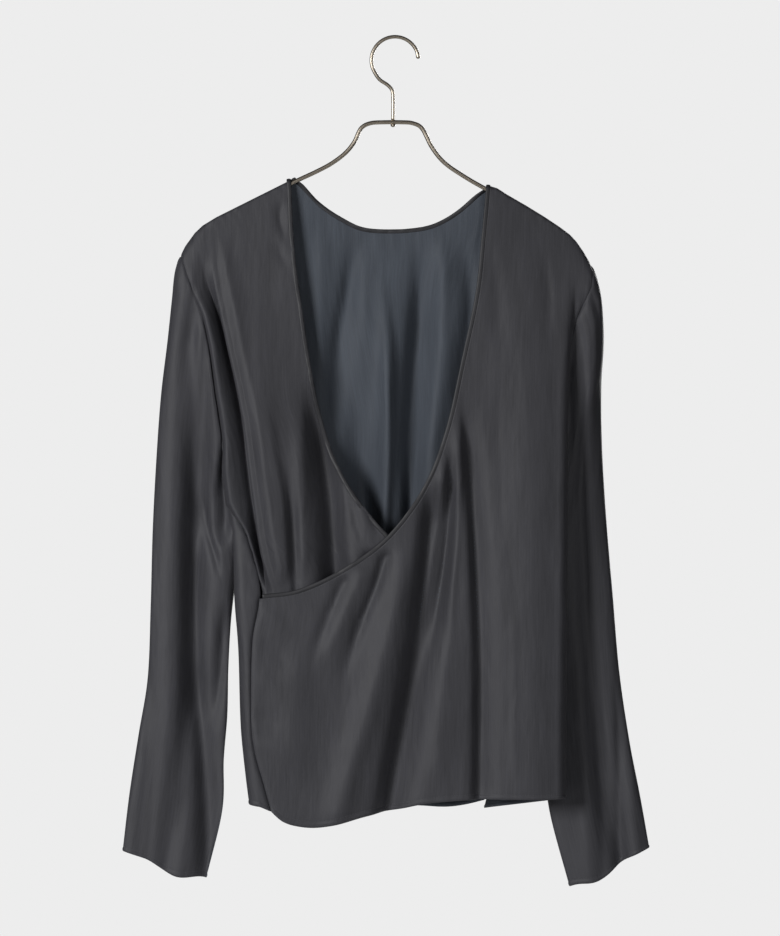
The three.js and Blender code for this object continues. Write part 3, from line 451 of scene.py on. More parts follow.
def drawn_in(grid, normals, sewn):
    """The grid with its sewn edges (first and last column, top row) drawn inwards and puckered."""
    first, last, top = sewn
    from_first = run_lengths(grid, axis=1)
    from_last = from_first[:, -1:] - from_first
    down = run_lengths(grid)
    inward = np.zeros(grid.shape[:2])
    for away, weight, run in ((from_first, first, down), (from_last, last, down), (down, top, from_first)):
        if weight is None:
            continue
        inward += SEAM_DRAW * weight * bell(away, 0, SEAM_DRAW_REACH)
        puckered = SEAM_PUCKER * weight * ripples(run, SEAM_WAVES)
        inward += puckered * bell(away, 0, SEAM_PUCKER_REACH) * ease(0, 1.5, away)
    return grid - normals * inward[:, :, None]


def cloth(name, grid, outside, cut, sewn, around=False):
    """A closed thin shell on a grid of middle points, with a rounded rim and a turned hem on its last row.
    cut gives each grid point's place on the flat cloth in millimetres, as (across, down)."""
    rows, cols = grid.shape[:2]
    normals = normals_of(grid, around) * outside
    grid = drawn_in(grid, normals, sewn)
    from_hem = run_lengths(grid[:, cols // 2])
    from_hem = from_hem[-1] - from_hem
    puff = HEM_PUFF * bell(from_hem, HEM_PUFF_FROM_EDGE, HEM_PUFF_WIDTH)
    dent = STITCH_DENT * bell(from_hem, HEM_TURN, STITCH_DENT_WIDTH)
    half = (CLOTH / 2 + (puff - dent))[:, None, None]
    size = rows * cols
    outer_faces[name] = grid + normals * half
    layers = [outer_faces[name].reshape(-1, 3), (grid - normals * half).reshape(-1, 3)]
    ids = cut_ids = np.arange(size).reshape(rows, cols)
    if around:
        ids = np.column_stack([ids, ids[:, 0]])
        cut_ids = np.arange(rows * (cols + 1)).reshape(rows, cols + 1)
    quads, places, kinds = [], [], []

    def lay(corners, of, kind):
        quads.append(np.column_stack(corners))
        places.append(np.column_stack(of))
        kinds.append(np.full(len(corners[0]), kind))

    corners, of = (
        [table[:-1, :-1].ravel(), table[1:, :-1].ravel(), table[1:, 1:].ravel(), table[:-1, 1:].ravel()]
        for table in (ids, cut_ids)
    )
    lay(corners, of, 0)
    lay([corner + size for corner in corners[::-1]], of[::-1], 1)
    top_away, hem_away = grid[0] - grid[1], (grid[-1] - grid[-2])[::-1]
    if around:
        top_away = np.vstack([top_away, top_away[:1]])
        hem_away = np.vstack([hem_away[-1:], hem_away])
    loops = [(ids[0], cut_ids[0], top_away), (ids[-1][::-1], cut_ids[-1][::-1], hem_away)]
    if not around:
        first = (ids[::-1, 0], cut_ids[::-1, 0], (grid[:, 0] - grid[:, 1])[::-1])
        last = (ids[:, -1], cut_ids[:, -1], grid[:, -1] - grid[:, -2])
        top, hem = loops
        ring = [np.concatenate([part[k][:-1] for part in (top, last, hem, first)]) for k in range(3)]
        loops = [tuple(np.concatenate([column, column[:1]]) for column in ring)]
    for edge_ids, edge_cut, away in loops:
        away = away / np.maximum(np.linalg.norm(away, axis=1, keepdims=True), 1e-9)
        outer, inner = layers[0][edge_ids[:-1]], layers[1][edge_ids[:-1]]
        thick = np.linalg.norm(outer - inner, axis=1, keepdims=True)
        rim = np.arange(len(outer)) + len(np.vstack(layers))
        rim = np.append(rim, rim[0])
        layers.append((outer + inner) / 2 + away[:-1] * thick * RIM_REACH)
        of = [edge_cut[:-1], edge_cut[1:], edge_cut[1:], edge_cut[:-1]]
        lay([edge_ids[:-1], edge_ids[1:], rim[1:], rim[:-1]], of, 0)
        lay([rim[:-1], rim[1:], edge_ids[1:] + size, edge_ids[:-1] + size], of, 0)
    points, quads, places = np.vstack(layers), np.vstack(quads), np.vstack(places)
    if signed_volume(points, quads) < 0:
        quads, places = quads[:, ::-1], places[:, ::-1]
    uv = cut.reshape(-1, 2)[places.ravel()]
    return add_mesh(name, points, quads.tolist(), [outer_satin, inner_satin], uv, np.concatenate(kinds))


def cut_of(grid, zero_column):
    """A flat place for each point: across by the run along its row from one column, down by its height."""
    across = run_lengths(grid, axis=1)
    across += (grid[:, zero_column, 0] - across[:, zero_column])[:, None]
    return np.dstack([across, grid[:, :, 2]])


BACK_LEFT_FOLD = [
    (0, -196, -191.5), (0.1, -196, -262), (0.2, -188, -322), (0.3, -176, -385), (0.42, -164, -466),
    (0.5, -160.5, -505), (0.6, -159, -560), (0.7, -155, -612), (0.85, -152.5, -690), (0.93, -148.5, -732),
    (1, -144, -768),
]
BACK_HEM = [
    (-144, -768), (-100, -772), (-40, -771), (23, -770), (45, -771.5), (60, -771), (76, -768.5), (92, -764.5),
]
BACK_NECK_EDGE = [
    (-101.7, -141.4), (-100.9, -142.1), (-97.7, -144.4), (-73, -169.5), (-50, -184.6), (-32, -192.7),
    (-8, -195.2), (23, -193.7), (44, -188.7), (67, -175.5), (93.7, -151.8), (96.9, -149.2), (97.7, -148.4),
]
BACK_LEFT_START = -185
BACK_RIGHT_END = 200
SHOULDER_FADES_BY = 0.46
BACK_RIGHT_SETTLES = (0.95, 0.72)
HEM_SHAPED_FROM = 0.76
BACK_SIDE_COLUMNS = 18
FOLD_RADIUS = 11


def spread(start, end, steps):
    return np.linspace(start, end, steps, endpoint=False)


def fold_line(table):
    return np.column_stack([read(table, ROWS, 1), read(table, ROWS, 2)])


def hem_drop(hem, x, at):
    """How far a shaped hem departs from the straight line between its ends."""
    (left_x, left_z), (right_x, right_z) = hem[0], hem[-1]
    straight = mix(left_z, right_z, (x - left_x) / (right_x - left_x))
    return (read(hem, x, 1) - straight) * ease(HEM_SHAPED_FROM, 1, at)


# The columns stand closest where the top edge leaves the shoulder seams for the neck
neck_left, left_round = BACK_NECK_EDGE[0][0], BACK_NECK_EDGE[2][0]
right_round, neck_right = BACK_NECK_EDGE[-3][0], BACK_NECK_EDGE[-1][0]
back_columns = np.concatenate([
    spread(BACK_LEFT_START, neck_left, 20), spread(neck_left, left_round, 4),
    spread(left_round, right_round, 56), spread(right_round, neck_right, 4),
    np.linspace(neck_right, BACK_RIGHT_END, 26),
])
in_neck = (back_columns >= neck_left) & (back_columns <= neck_right)
back_top_z = np.where(in_neck, read(BACK_NECK_EDGE, back_columns, 1), shoulder_z(back_columns))

left_back_seam = seam_points("left back", LEFT_SEAM)
right_back_seam = seam_points("right back", RIGHT_SEAM)
right_back_seam[:, 2] += RIGHT_SEAM_STEP * ease(*STEP_GROWS_OVER, ROWS)
at = ROWS[:, None]
back_fold = fold_line(BACK_LEFT_FOLD)
share = (back_columns - BACK_LEFT_START) / (BACK_RIGHT_END - BACK_LEFT_START)
x = mix(back_fold[:, :1] + FOLD_RADIUS, right_back_seam[:, :1], share)
row_line = mix(back_fold[:, 1:], right_back_seam[:, 2:], share)
top_line = back_top_z + row_line - mix(BACK_LEFT_FOLD[0][2], SHOULDER_LINE[-1, 1], share)
z = mix(top_line, row_line, ease(0, SHOULDER_FADES_BY, at)) + hem_drop(BACK_HEM, x, at)
settle = ease(mix(*BACK_RIGHT_SETTLES, ease(0.02, 0.2, at)), 1, share)
# Towards the right seam the back settles to the seam's depth, and on the shoulder seams to y = 0
y = mix(back_y(x, z), right_back_seam[:, 1:2], settle)
y[0] = np.where(shoulder_z(x[0]) - z[0] < 0.5, 0, y[0])
back_grid = np.array([
    np.vstack([turned_side(row, flat_part[0], fold, seam, BACK_SIDE_COLUMNS)[::-1], flat_part])
    for row, flat_part, fold, seam in zip(ROWS, np.dstack([x, y, z]), back_fold, left_back_seam)
])
off_neck = np.concatenate([np.ones(BACK_SIDE_COLUMNS), 1.0 - in_neck])
back = cloth("satin_back", back_grid, 1, cut_of(back_grid, BACK_SIDE_COLUMNS), (1, 1, off_neck))
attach(back, "root")
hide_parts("back")

# The under front
# The same satin, cut from the left shoulder down and sewn in at the left side seam. It passes behind
# the over front, which hides all of it below the crossing.
LAYER_STEP = 4
LAYER_SAMPLES = (-16, -8, 0, 8, 16)
EDGE_INSET = 4.7
NECK_END = 0.732
CROSSING_ON_SEAM = 0.6
UNDER_COLUMNS = 84
UNDER_SIDE_COLUMNS = 36
UNDER_RIGHT_END = 160
UNDER_RIGHT_NECK_Z = -566
UNDER_RIGHT_HEM_Z = -757
UNDER_HEM_LIFT = 5
UNDER_INSET = 2.5
UNDER_RIDGE = 10
TUCK_GROWS = (0.01, 0.2)
TUCK_ENDS = (0.62, 0.5)
RIDGE_GROWS = (0.02, 0.14)
RIDGE_ENDS = (0.6, 0.5)
SHOULDER_SLOPE_END = 0.14

OVER_NECK_LINE = [
    (0, 93, -147), (0.1, 88, -200), (0.21, 82, -255), (0.33, 68, -322), (0.46, 52, -392), (0.58, 30, -449),
    (0.68, -4, -496), (0.78, -44, -527), (0.9, -93, -551), (1, -133, -557),
]
UNDER_NECK_LINE = [
    (0, -98, -141), (0.12, -94, -215), (0.22, -86, -274), (0.34, -75, -344), (0.41, -65.5, -385),
    (0.47, -53.5, -421), (0.53, -35.5, -453), (0.6, -10.5, -485), (0.66, 14, -507), (0.78, 70, -538),
    (0.9, 130, -556), (1, 165, -559),
]
OVER_HEM = [
    (-121, -775), (-110, -784), (-96, -788.5), (-78, -790), (-57, -787), (-28, -779), (7, -772), (28, -767),
    (59, -763.5), (92, -762), (142, -762), (174, -761.5),
]

# How full each front is and where its creases set in, and the creases, ridges where the rise is above
# 0. On the over front the long ones fan out from the crossing to the hem. The short ones are puckers.
OVER_FULLNESS = 17.5
OVER_SWELLS_OVER = 100
OVER_CREASED_BELOW = 60
OVER_CREASED_WITHIN = (174, 150)
OVER_CREASES = [
    (((126, -190), (133, -363), (139, -563), (139, -803)), 25, 5, 0, 0.3, 0.1),
    (((66, -372), (66, -413), (64, -483), (59, -563), (55, -643)), 5.5, 5, -0.35, 0.15, 0.5),
    (((66, -345), (75, -413), (80, -483), (84, -563), (86, -643), (85, -723), (85, -803)),
     9, -12, 0.45, 0.22, 0.12),
    (((51, -403), (49, -443), (44, -483), (37, -533), (27, -603), (12, -683)), 6.5, 7, -0.3, 0.15, 0.55),
    (((57, -408), (57, -463), (53, -513), (44, -573), (33, -643)), 5.5, -9, 0.3, 0.2, 0.5),
    (((42, -440), (39, -483), (33, -543), (23, -613), (10, -683), (-5, -763), (-15, -823)),
     14, -22, 0.35, 0.12, 0.06),
    (((18, -490), (9, -533), (-5, -603), (-24, -673), (-45, -743), (-61, -803)), 14, 8, 0, 0.25, 0.1),
    (((-6, -512), (-17, -548), (-31, -583), (-43, -618), (-56, -658)), 5.5, -6.5, 0.1, 0.05, 0.5),
    (((-26, -526), (-42, -563), (-58, -603), (-74, -650)), 9, 3.2, 0, 0.1, 0.5),
    (((-46, -536), (-60, -568), (-72, -598), (-88, -634)), 5.5, -4.6, 0.1, 0.1, 0.5),
    (((-96, -600), (-100, -683), (-102, -753)), 18, 4, 0, 0.3, 0.3),
    (((52, -580), (47, -663), (42, -763)), 13, 3, 0, 0.3, 0.2),
    (((120, -545), (121, -650), (121, -763)), 3.5, 0.9, 0, 0.3, 0.2),
    (((94, -190), (104, -260), (106, -340)), 10, -1.8, 0, 0.35, 0.5),
    (((150, -190), (156, -260), (158, -340)), 8, -2, 0, 0.35, 0.5),
    (((184, -196), (181, -225), (178, -262)), 5, -4, 0.2, 0.25, 0.5),
    (((100, -340), (108, -440), (106, -540)), 9, -1.4, 0, 0.4, 0.5),
    (((-134, -574), (-116, -586), (-96, -606)), 5, 1.8, 0.2, 0.2, 0.6),
    (((-136, -606), (-114, -618), (-98, -640)), 5, -1.8, 0, 0.2, 0.6),
    (((-138, -640), (-118, -650), (-104, -676)), 5.5, 1.6, 0, 0.2, 0.6),
    (((-140, -676), (-122, -684), (-104, -690)), 5, -1.4, 0, 0.2, 0.6),
    (((-138, -706), (-116, -712), (-96, -726)), 6, 1.3, 0, 0.2, 0.6),
    (((-60, -700), (-38, -712), (-16, -716)), 10, 0.8, 0, 0.4, 0.5),
    (((40, -668), (72, -674), (98, -664)), 10, 0.7, 0, 0.4, 0.5),
]
UNDER_FULLNESS = 13
UNDER_SWELLS_OVER = 110
UNDER_CREASED_BELOW = 30
UNDER_CREASED_FROM_FOLD = (6, 22)
UNDER_COVERED_BELOW = -550
UNDER_COVERED_OVER = (-60, -16)
UNDER_CREASES = [
    (((-156, -240), (-149, -330), (-137, -450), (-123, -600)), 32, 9, -0.1, 0.35, 0.2),
    (((-84, -335), (-79, -375), (-71, -410), (-64, -463), (-60, -523), (-56, -600)), 13, -22, 0.1, 0.3, 0.05),
    (((-90, -350), (-92, -443), (-90, -523), (-88, -600)), 8, 5, -0.2, 0.35, 0.05),
    (((-105, -420), (-101, -483), (-98, -543), (-96, -600)), 7, -8, 0.3, 0.4, 0.05),
    (((-128, -340), (-121, -410), (-110, -473), (-104, -560)), 12, 3.4, -0.5, 0.4, 0.2),
    (((-46, -440), (-38, -478), (-33, -510)), 3.2, -2, 0, 0.3, 0.3),
    (((-30, -462), (-22, -482), (-14, -500)), 3.2, -2.6, 0, 0.3, 0.3),
    (((-38, -452), (-29, -480), (-24, -506)), 3.6, 1.8, 0, 0.3, 0.3),
    (((-52, -425), (-49, -480), (-42, -540)), 6, 2.4, 0.3, 0.3, 0.2),
    (((-112, -158), (-114, -180), (-106, -206)), 5, -2.4, 0.2, 0.3, 0.5),
    (((-118, -204), (-110, -222), (-100, -234)), 5, -1.3, 0, 0.3, 0.5),
    (((-146, -270), (-142, -340), (-140, -420)), 8, -1.6, 0, 0.4, 0.4),
    (((-190, -196), (-183, -230), (-176, -270), (-168, -320)), 10, -4, -0.2, 0.2, 0.3),
    (((-178, -186), (-168, -230), (-158, -280), (-150, -340)), 10, 3, -0.2, 0.3, 0.5),
]


def over_y(x, z):
    settled = ease(0, OVER_CREASED_BELOW, shoulder_z(x) - z) * ease(*OVER_CREASED_WITHIN, x)
    return -stand_off(x, z, OVER_FULLNESS, OVER_SWELLS_OVER) - creases(x, z, OVER_CREASES) * settled


def behind(a, b, soft=1.5):
    """Keeps a at least as far back (+Y) as b, with a soft change from one to the other."""
    return (a + b + np.sqrt((a - b) ** 2 + soft**2)) / 2


def under_y(x, z, from_fold):
    settled = ease(0, UNDER_CREASED_BELOW, shoulder_z(x) - z) * ease(*UNDER_CREASED_FROM_FOLD, from_fold)
    own = -stand_off(x, z, UNDER_FULLNESS, UNDER_SWELLS_OVER) - creases(x, z, UNDER_CREASES) * settled
    past_edge = x - read(OVER_NECK_LINE, z, 1, key=2)
    covered = np.where(z < UNDER_COVERED_BELOW, 1, ease(*UNDER_COVERED_OVER, past_edge))
    deepest = np.max([over_y(x + aside, z) for aside in LAYER_SAMPLES], axis=0)
    return mix(own, behind(own, deepest + LAYER_STEP), covered)


def neck_point(line, at, inset):
    """A neck edge point, moved into its panel by inset, which is measured square to the edge."""
    step = 0.01
    low, high = np.maximum(at - step, 0), np.minimum(at + step, 1)
    along_x = read(line, high, 1) - read(line, low, 1)
    along_z = read(line, high, 2) - read(line, low, 2)
    length = np.hypot(along_x, along_z)
    return (read(line, at, 1) - inset * along_z / length, read(line, at, 2) + inset * along_x / length)


# At the underarm the seam's edge laps the sleeve a little, so that no light comes through the seam
UNDERARM_LAP = 3.4
UNDERARM_LAP_FORWARD = 1.2
LAP_STARTS = (-405, -438)
LAP_ENDS = (-494, -478)
UNDER_LEFT_FOLD = [
    (0, -191, -187.5), (0.05, -188, -222), (0.1, -183, -256), (0.2, -170, -313), (0.3, -156, -377),
    (0.42, -145, -458), (0.5, -137, -512), (0.6, -127, -560), (1, -112, -775),
]
left_front_seam = seam_points("left front", LEFT_SEAM)
on_neck = at <= NECK_END
neck_x, neck_z = neck_point(UNDER_NECK_LINE, np.minimum(at / NECK_END, 1), -EDGE_INSET)
right_x = np.where(on_neck, np.minimum(neck_x, UNDER_RIGHT_END), UNDER_RIGHT_END)
below_neck = (at - NECK_END) / (1 - NECK_END)
right_z = np.where(on_neck, neck_z, mix(UNDER_RIGHT_NECK_Z, UNDER_RIGHT_HEM_Z, below_neck))
under_fold = fold_line(UNDER_LEFT_FOLD)
fold_x, fold_z = under_fold[:, :1], under_fold[:, 1:]
under_seam = left_front_seam + np.array([UNDER_INSET, LAYER_STEP, 0]) * ease(0.55, CROSSING_ON_SEAM, at)
lapped = ease(*LAP_STARTS, under_seam[:, 2:]) * ease(*LAP_ENDS, under_seam[:, 2:])
under_seam = under_seam - np.array([UNDERARM_LAP, UNDERARM_LAP_FORWARD, 0]) * lapped
under_seam[:, 2] += UNDER_HEM_LIFT * ease(CROSSING_ON_SEAM, 1, ROWS)
x = mix(fold_x + FOLD_RADIUS, right_x, np.linspace(0, 1, UNDER_COLUMNS + 1))
row_z = mix(fold_z, right_z, (x - fold_x) / (right_x - fold_x))
shoulder_row = shoulder_z(x) - (shoulder_z(right_x) - right_z)
(fold_end_x, fold_end_z) = UNDER_LEFT_FOLD[-1][1:]
hem_line = mix(fold_end_z, UNDER_RIGHT_HEM_Z, (x - fold_end_x) / (UNDER_RIGHT_END - fold_end_x))
hem_lift = (read(OVER_HEM, x, 1) + UNDER_HEM_LIFT - hem_line) * ease(HEM_SHAPED_FROM, 1, at)
z = mix(shoulder_row, row_z, ease(0, SHOULDER_SLOPE_END, at)) + hem_lift
y = under_y(x, z, x - fold_x)
y[0] = 0
# Left of its fold the cloth is tucked back, and climbs again to a crest beside the seam
tucks = ease(*TUCK_GROWS, ROWS) * ease(*TUCK_ENDS, ROWS)
ridges = UNDER_RIDGE * ease(*RIDGE_GROWS, ROWS) * ease(*RIDGE_ENDS, ROWS)
under_grid = np.array([
    np.vstack([turned_side(row, flat_part[0], *side, UNDER_SIDE_COLUMNS, *shape)[::-1], flat_part])
    for row, flat_part, side, shape in zip(
        ROWS, np.dstack([x, y, z]), zip(under_fold, under_seam), zip(tucks, ridges)
    )
])
front_under = cloth("satin_front_under", under_grid, -1, cut_of(under_grid, -1), (1, None, 1))
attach(front_under, "root")
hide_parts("front_under")

# The over front
# The widest panel: from the right shoulder it crosses to the left side seam, and on the right it
# wraps round the side as one piece to a seam at the back, so its own folds fall all the way down.
OVER_COLUMNS = 88
OVER_SIDE_COLUMNS = 26

OVER_RIGHT_FOLD = [
    (0, 185, -204.5), (0.02, 184.5, -216), (0.05, 183.5, -233), (0.1, 181, -262), (0.2, 177, -322),
    (0.3, 175.5, -380), (0.42, 175, -446), (0.6, 174.5, -549), (0.8, 173.5, -657), (1, 173, -761.5),
]
right_front_seam = seam_points("right front", RIGHT_SEAM)
right_front_seam[:, 2] -= RIGHT_SEAM_STEP * ease(*STEP_GROWS_OVER, ROWS)
neck_x, neck_z = neck_point(OVER_NECK_LINE, np.minimum(at / NECK_END, 1), EDGE_INSET)
down = mix(CROSSING_ON_SEAM, 1, (at - NECK_END) / (1 - NECK_END))
left_x = np.where(on_neck, neck_x, read(LEFT_SEAM, down, 1))
left_z = np.where(on_neck, neck_z, read(LEFT_SEAM, down, 3))
over_fold = fold_line(OVER_RIGHT_FOLD)
fold_x, fold_z = over_fold[:, :1], over_fold[:, 1:]
x = mix(left_x, fold_x - FOLD_RADIUS, np.linspace(0, 1, OVER_COLUMNS + 1))
row_z = mix(left_z, fold_z, (x - left_x) / (fold_x - left_x))
shoulder_row = shoulder_z(x) - (shoulder_z(left_x) - left_z)
z = mix(shoulder_row, row_z, ease(0, SHOULDER_SLOPE_END, at)) + hem_drop(OVER_HEM, x, at)
y = over_y(x, z)
y[0] = 0
over_grid = np.array([
    np.vstack([flat_part, turned_side(row, flat_part[-1], fold, seam, OVER_SIDE_COLUMNS)])
    for row, flat_part, fold, seam in zip(ROWS, np.dstack([x, y, z]), over_fold, right_front_seam)
])
below_neck_rows = ease(NECK_END, NECK_END + 0.02, at)
front_over = cloth(
    "satin_front_over", over_grid, -1, cut_of(over_grid, OVER_COLUMNS), (below_neck_rows, 1, 1)
)
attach(front_over, "root")
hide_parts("front_over")

# The sleeves
# Long straight tubes of the same satin, set into the armholes on one seam each. They hang flat, with
# the fold of the upper arm outside, and widen below the elbow to a slanted cuff with a turned hem.
SLEEVE_AROUND = 96
SLEEVE_LENGTH = 620
GROOVE_ACROSS = {"left": 0.52, "right": 0.36}
GROOVE_WIDTH = 0.13
GROOVE_DEEPER = 1.15
FLATNESS = 0.8
SIDE_SOFTNESS = 0.6
SLIDE_FADES_BY = 0.3
SAG_START = 0.25
UNDERARM_APART = 1.8
UNDERARM_RETURN = 0.8
SLEEVE_ROWS = np.concatenate([
    spread(0, 0.04, 16), np.linspace(0.04, 1 - ABOVE_HEM / SLEEVE_LENGTH, 134),
    1 - HEM_ROWS / SLEEVE_LENGTH,
])

# Rings from the armhole to the cuff: at, outer x and z, inner x and z, y, depth, groove, sag
LEFT_RINGS = [
    (0, -214.5, -219, -165, -468, 3, 8, 0, 0), (0.03, -219, -236, -164, -473, 4, 10, 1, 0),
    (0.07, -221.5, -259, -162, -480, 6, 12, 2, 0), (0.15, -226.5, -304, -159, -497, 9, 14, 5, 0),
    (0.24, -233, -356, -157.5, -518, 12, 15, 8, 0), (0.34, -237.5, -415, -159, -545, 13, 15, 9, 0),
    (0.46, -241.5, -492, -163.5, -586, 12, 15, 9, 0), (0.58, -243.5, -571, -166, -633, 10, 14, 8, 0),
    (0.7, -246.5, -643, -167, -680, 9, 13, 8, 0), (0.8, -255.5, -699, -170.5, -724, 8, 12, 8, 1),
    (0.9, -264.5, -757, -172, -775, 8, 11, 7, 4), (1, -271.5, -815.5, -188, -842.5, 8, 10, 6, 8),
]
RIGHT_RINGS = [
    (0, 200, -228, 163, -452, 5, 9, 0, 0), (0.03, 205.5, -243, 164, -458, 8, 10, 0, 0),
    (0.07, 209.5, -262, 165, -466, 11, 12, 1, 0), (0.15, 212, -302, 164, -486, 17, 13, 2, 0),
    (0.24, 210, -350, 159, -512, 23, 14, 4, 0), (0.34, 211, -410, 154, -543, 27, 14, 5, 0),
    (0.46, 215.5, -485, 152, -587, 29, 14, 5, 0), (0.58, 222, -561, 150.5, -634, 29, 13, 5, 0),
    (0.7, 228.5, -637, 151, -685, 29, 12, 6, 0), (0.8, 238.5, -706, 153.5, -731, 28, 11, 7, 1),
    (0.9, 249.5, -763, 159, -780, 27, 10, 7, 4), (1, 258.5, -814, 178.5, -853, 26, 9, 7, 8),
]
# Creases of each sleeve, first on the side that shows and then behind
SLEEVE_CREASES = {
    "left": [
        (((-203, -262), (-203, -340), (-201, -440), (-199, -560), (-192, -700), (-186, -860)),
         17, -13, 0.35, 0.1, 0),
        (((-234, -300), (-238, -420), (-240, -560), (-246, -700), (-258, -860)), 8, -2.5, 0, 0.2, 0),
        (((-196, -280), (-195, -340), (-194, -430), (-196, -500)), 12, 4, 0, 0.25, 0.5),
        (((-186, -296), (-181, -326), (-179, -352)), 5, -1.6, 0, 0.3, 0.4),
        (((-191, -452), (-187, -490), (-178, -523), (-172, -550)), 4, -5, 0, 0.25, 0.4),
        (((-172, -446), (-169, -478), (-168, -515)), 11, -15, 0.1, 0.35, 0.35),
        (((-200, -470), (-197, -510), (-188, -545)), 6, 2.4, 0, 0.3, 0.5),
        (((-218, -645), (-216, -725), (-218, -800), (-222, -860)), 9, 2.5, 0, 0.3, 0),
        (((-168, -560), (-174, -640), (-181, -700)), 8, -9, 0.2, 0.3, 0.4),
        (((-204, -590), (-197, -660), (-187, -750), (-180, -840)), 12, -7, 0.2, 0.3, 0.05),
        (((-236, -660), (-240, -740), (-248, -860)), 7, -2.2, 0, 0.3, 0),
    ],
    "left behind": [
        (((-222, -260), (-214, -400), (-206, -620)), 12, 3.5, 0.2, 0.2, 0.3),
        (((-196, -300), (-192, -460), (-190, -660)), 9, -3.5, 0, 0.2, 0.3),
        (((-210, -560), (-218, -700), (-232, -860)), 9, 3.2, 0, 0.3, 0),
        (((-186, -620), (-196, -740), (-206, -860)), 8, -2.8, 0, 0.3, 0),
        (((-204, -590), (-197, -660), (-187, -750), (-180, -840)), 14, 5, 0, 0.3, 0.05),
    ],
    "right": [
        (((194, -256), (188, -282), (182, -306)), 6, -7, 0.2, 0.3, 0.3),
        (((198, -300), (196, -380), (194, -450), (192, -540)), 10, 3, 0, 0.3, 0.4),
        (((182, -330), (180, -470), (178, -600)), 6, -1.5, 0, 0.3, 0.4),
        (((188, -560), (192, -680), (198, -860)), 10, 2.8, 0.2, 0.3, 0),
        (((226, -640), (228, -740), (230, -860)), 6, -5, 0.2, 0.3, 0),
        (((204, -600), (208, -700), (212, -860)), 6, -2.2, 0, 0.4, 0),
        (((240, -690), (244, -780), (250, -860)), 6, 2.0, 0, 0.3, 0),
    ],
    "right behind": [
        (((196, -260), (190, -420), (186, -620)), 11, 3.5, 0.2, 0.2, 0.3),
        (((176, -380), (172, -520), (170, -660)), 9, -3.2, 0, 0.2, 0.3),
        (((206, -560), (212, -700), (222, -860)), 9, 3.2, 0, 0.3, 0),
        (((180, -620), (190, -740), (202, -860)), 8, -2.8, 0, 0.3, 0),
    ],
}
angles = np.arange(SLEEVE_AROUND) * 2 * np.pi / SLEEVE_AROUND
across = (1 - np.cos(angles)) / 2
facing = np.sin(angles)
flattened = np.sign(facing) * np.abs(facing) ** FLATNESS
down_armhole = (np.minimum(angles, 2 * np.pi - angles) / np.pi) ** ARMHOLE_CROWDING


def sleeve_form(rings, side, at):
    """Rings at these shares of the sleeve's length, one row of points each."""
    at = np.asarray(at)[:, None]
    out_x, out_z, in_x, in_z, y, depth, groove, sag = (read(rings, at, c) for c in range(1, 9))
    x = mix(out_x, in_x, across)
    sagged = np.clip((across - SAG_START) / (1 - SAG_START), 0, 1)
    z = mix(out_z, in_z, across) - sag * np.sin(np.pi * sagged) ** 2
    dent = GROOVE_DEEPER * groove * bell(across, GROOVE_ACROSS[side], GROOVE_WIDTH)
    shown = np.clip(facing, 0, 1) ** SIDE_SOFTNESS
    hidden = np.clip(-facing, 0, 1) ** SIDE_SOFTNESS
    front = (dent - creases(x, z, SLEEVE_CREASES[side])) * shown
    rear = creases(x, z, SLEEVE_CREASES[side + " behind"]) * hidden
    return np.dstack([x, y - depth * flattened + front + rear, z])


# The sleeve's first rows slide from its own form to the armhole's seam, on the right a little clear of
# the over front, so that the two don't meet at the underarm
for side, rings, outside, girth in (("left", LEFT_RINGS, -1, 190), ("right", RIGHT_RINGS, 1, 180)):
    front_loop = smooth_path(ARMHOLES[side + " front"], down_armhole[: SLEEVE_AROUND // 2 + 1])
    back_loop = smooth_path(ARMHOLES[side + " back"], down_armhole[SLEEVE_AROUND // 2 + 1:])
    loop = np.vstack([front_loop, back_loop])
    if side == "right":
        returned = 1 - UNDERARM_RETURN * ease(0.6, 0.95, down_armhole)
        loop[:, 1] += UNDERARM_APART * ease(0.1, 0.5, down_armhole) * returned * (facing > 0)
    slide = loop - sleeve_form(rings, side, [0])[0]
    slid = (1 - ease(0, SLIDE_FADES_BY, SLEEVE_ROWS))[:, None, None]
    grid = sleeve_form(rings, side, SLEEVE_ROWS) + slide * slid
    around_mm = np.append(angles, 2 * np.pi) / (2 * np.pi) * girth
    cut = np.dstack(np.meshgrid(around_mm, -SLEEVE_ROWS * SLEEVE_LENGTH))
    sleeve = cloth(f"satin_sleeve_{side}", grid, outside, cut, (None, None, 1), around=True)
    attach(sleeve, "root")
    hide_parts(f"sleeve_{side}")

# The neck bindings
# Bias strips of the satin rolled over the raw neck edges and stitched down, about 4 mm wide. The
# stitching draws the roll in a little unevenly, most of all on the under front.
ROLL_WIDTH = 4.4
ROLL_THICKNESS = 1.9
ROLL_LAP = 0.2
ROLL_STEP = 1.6
ROLL_GIRTH = 11
ROLL_FACETS = 14
ROLL_WAVES = ((1, 1.9, 2, 17), (0.6, 3.3, 1.3, 9))

# Cut on the bias and rolled, the same satin is a little glossier. Its colour is darkened to stand in for the
# shade along the rolled neck edges: painted shade.
binding_satin_painted_shade, binding_surface_painted_shade = satin("satin bias binding, darkened as painted shade", "#222225", "#343438", 0.55, 0.5)
binding_surface_painted_shade.inputs["Specular IOR Level"].default_value = 0.45


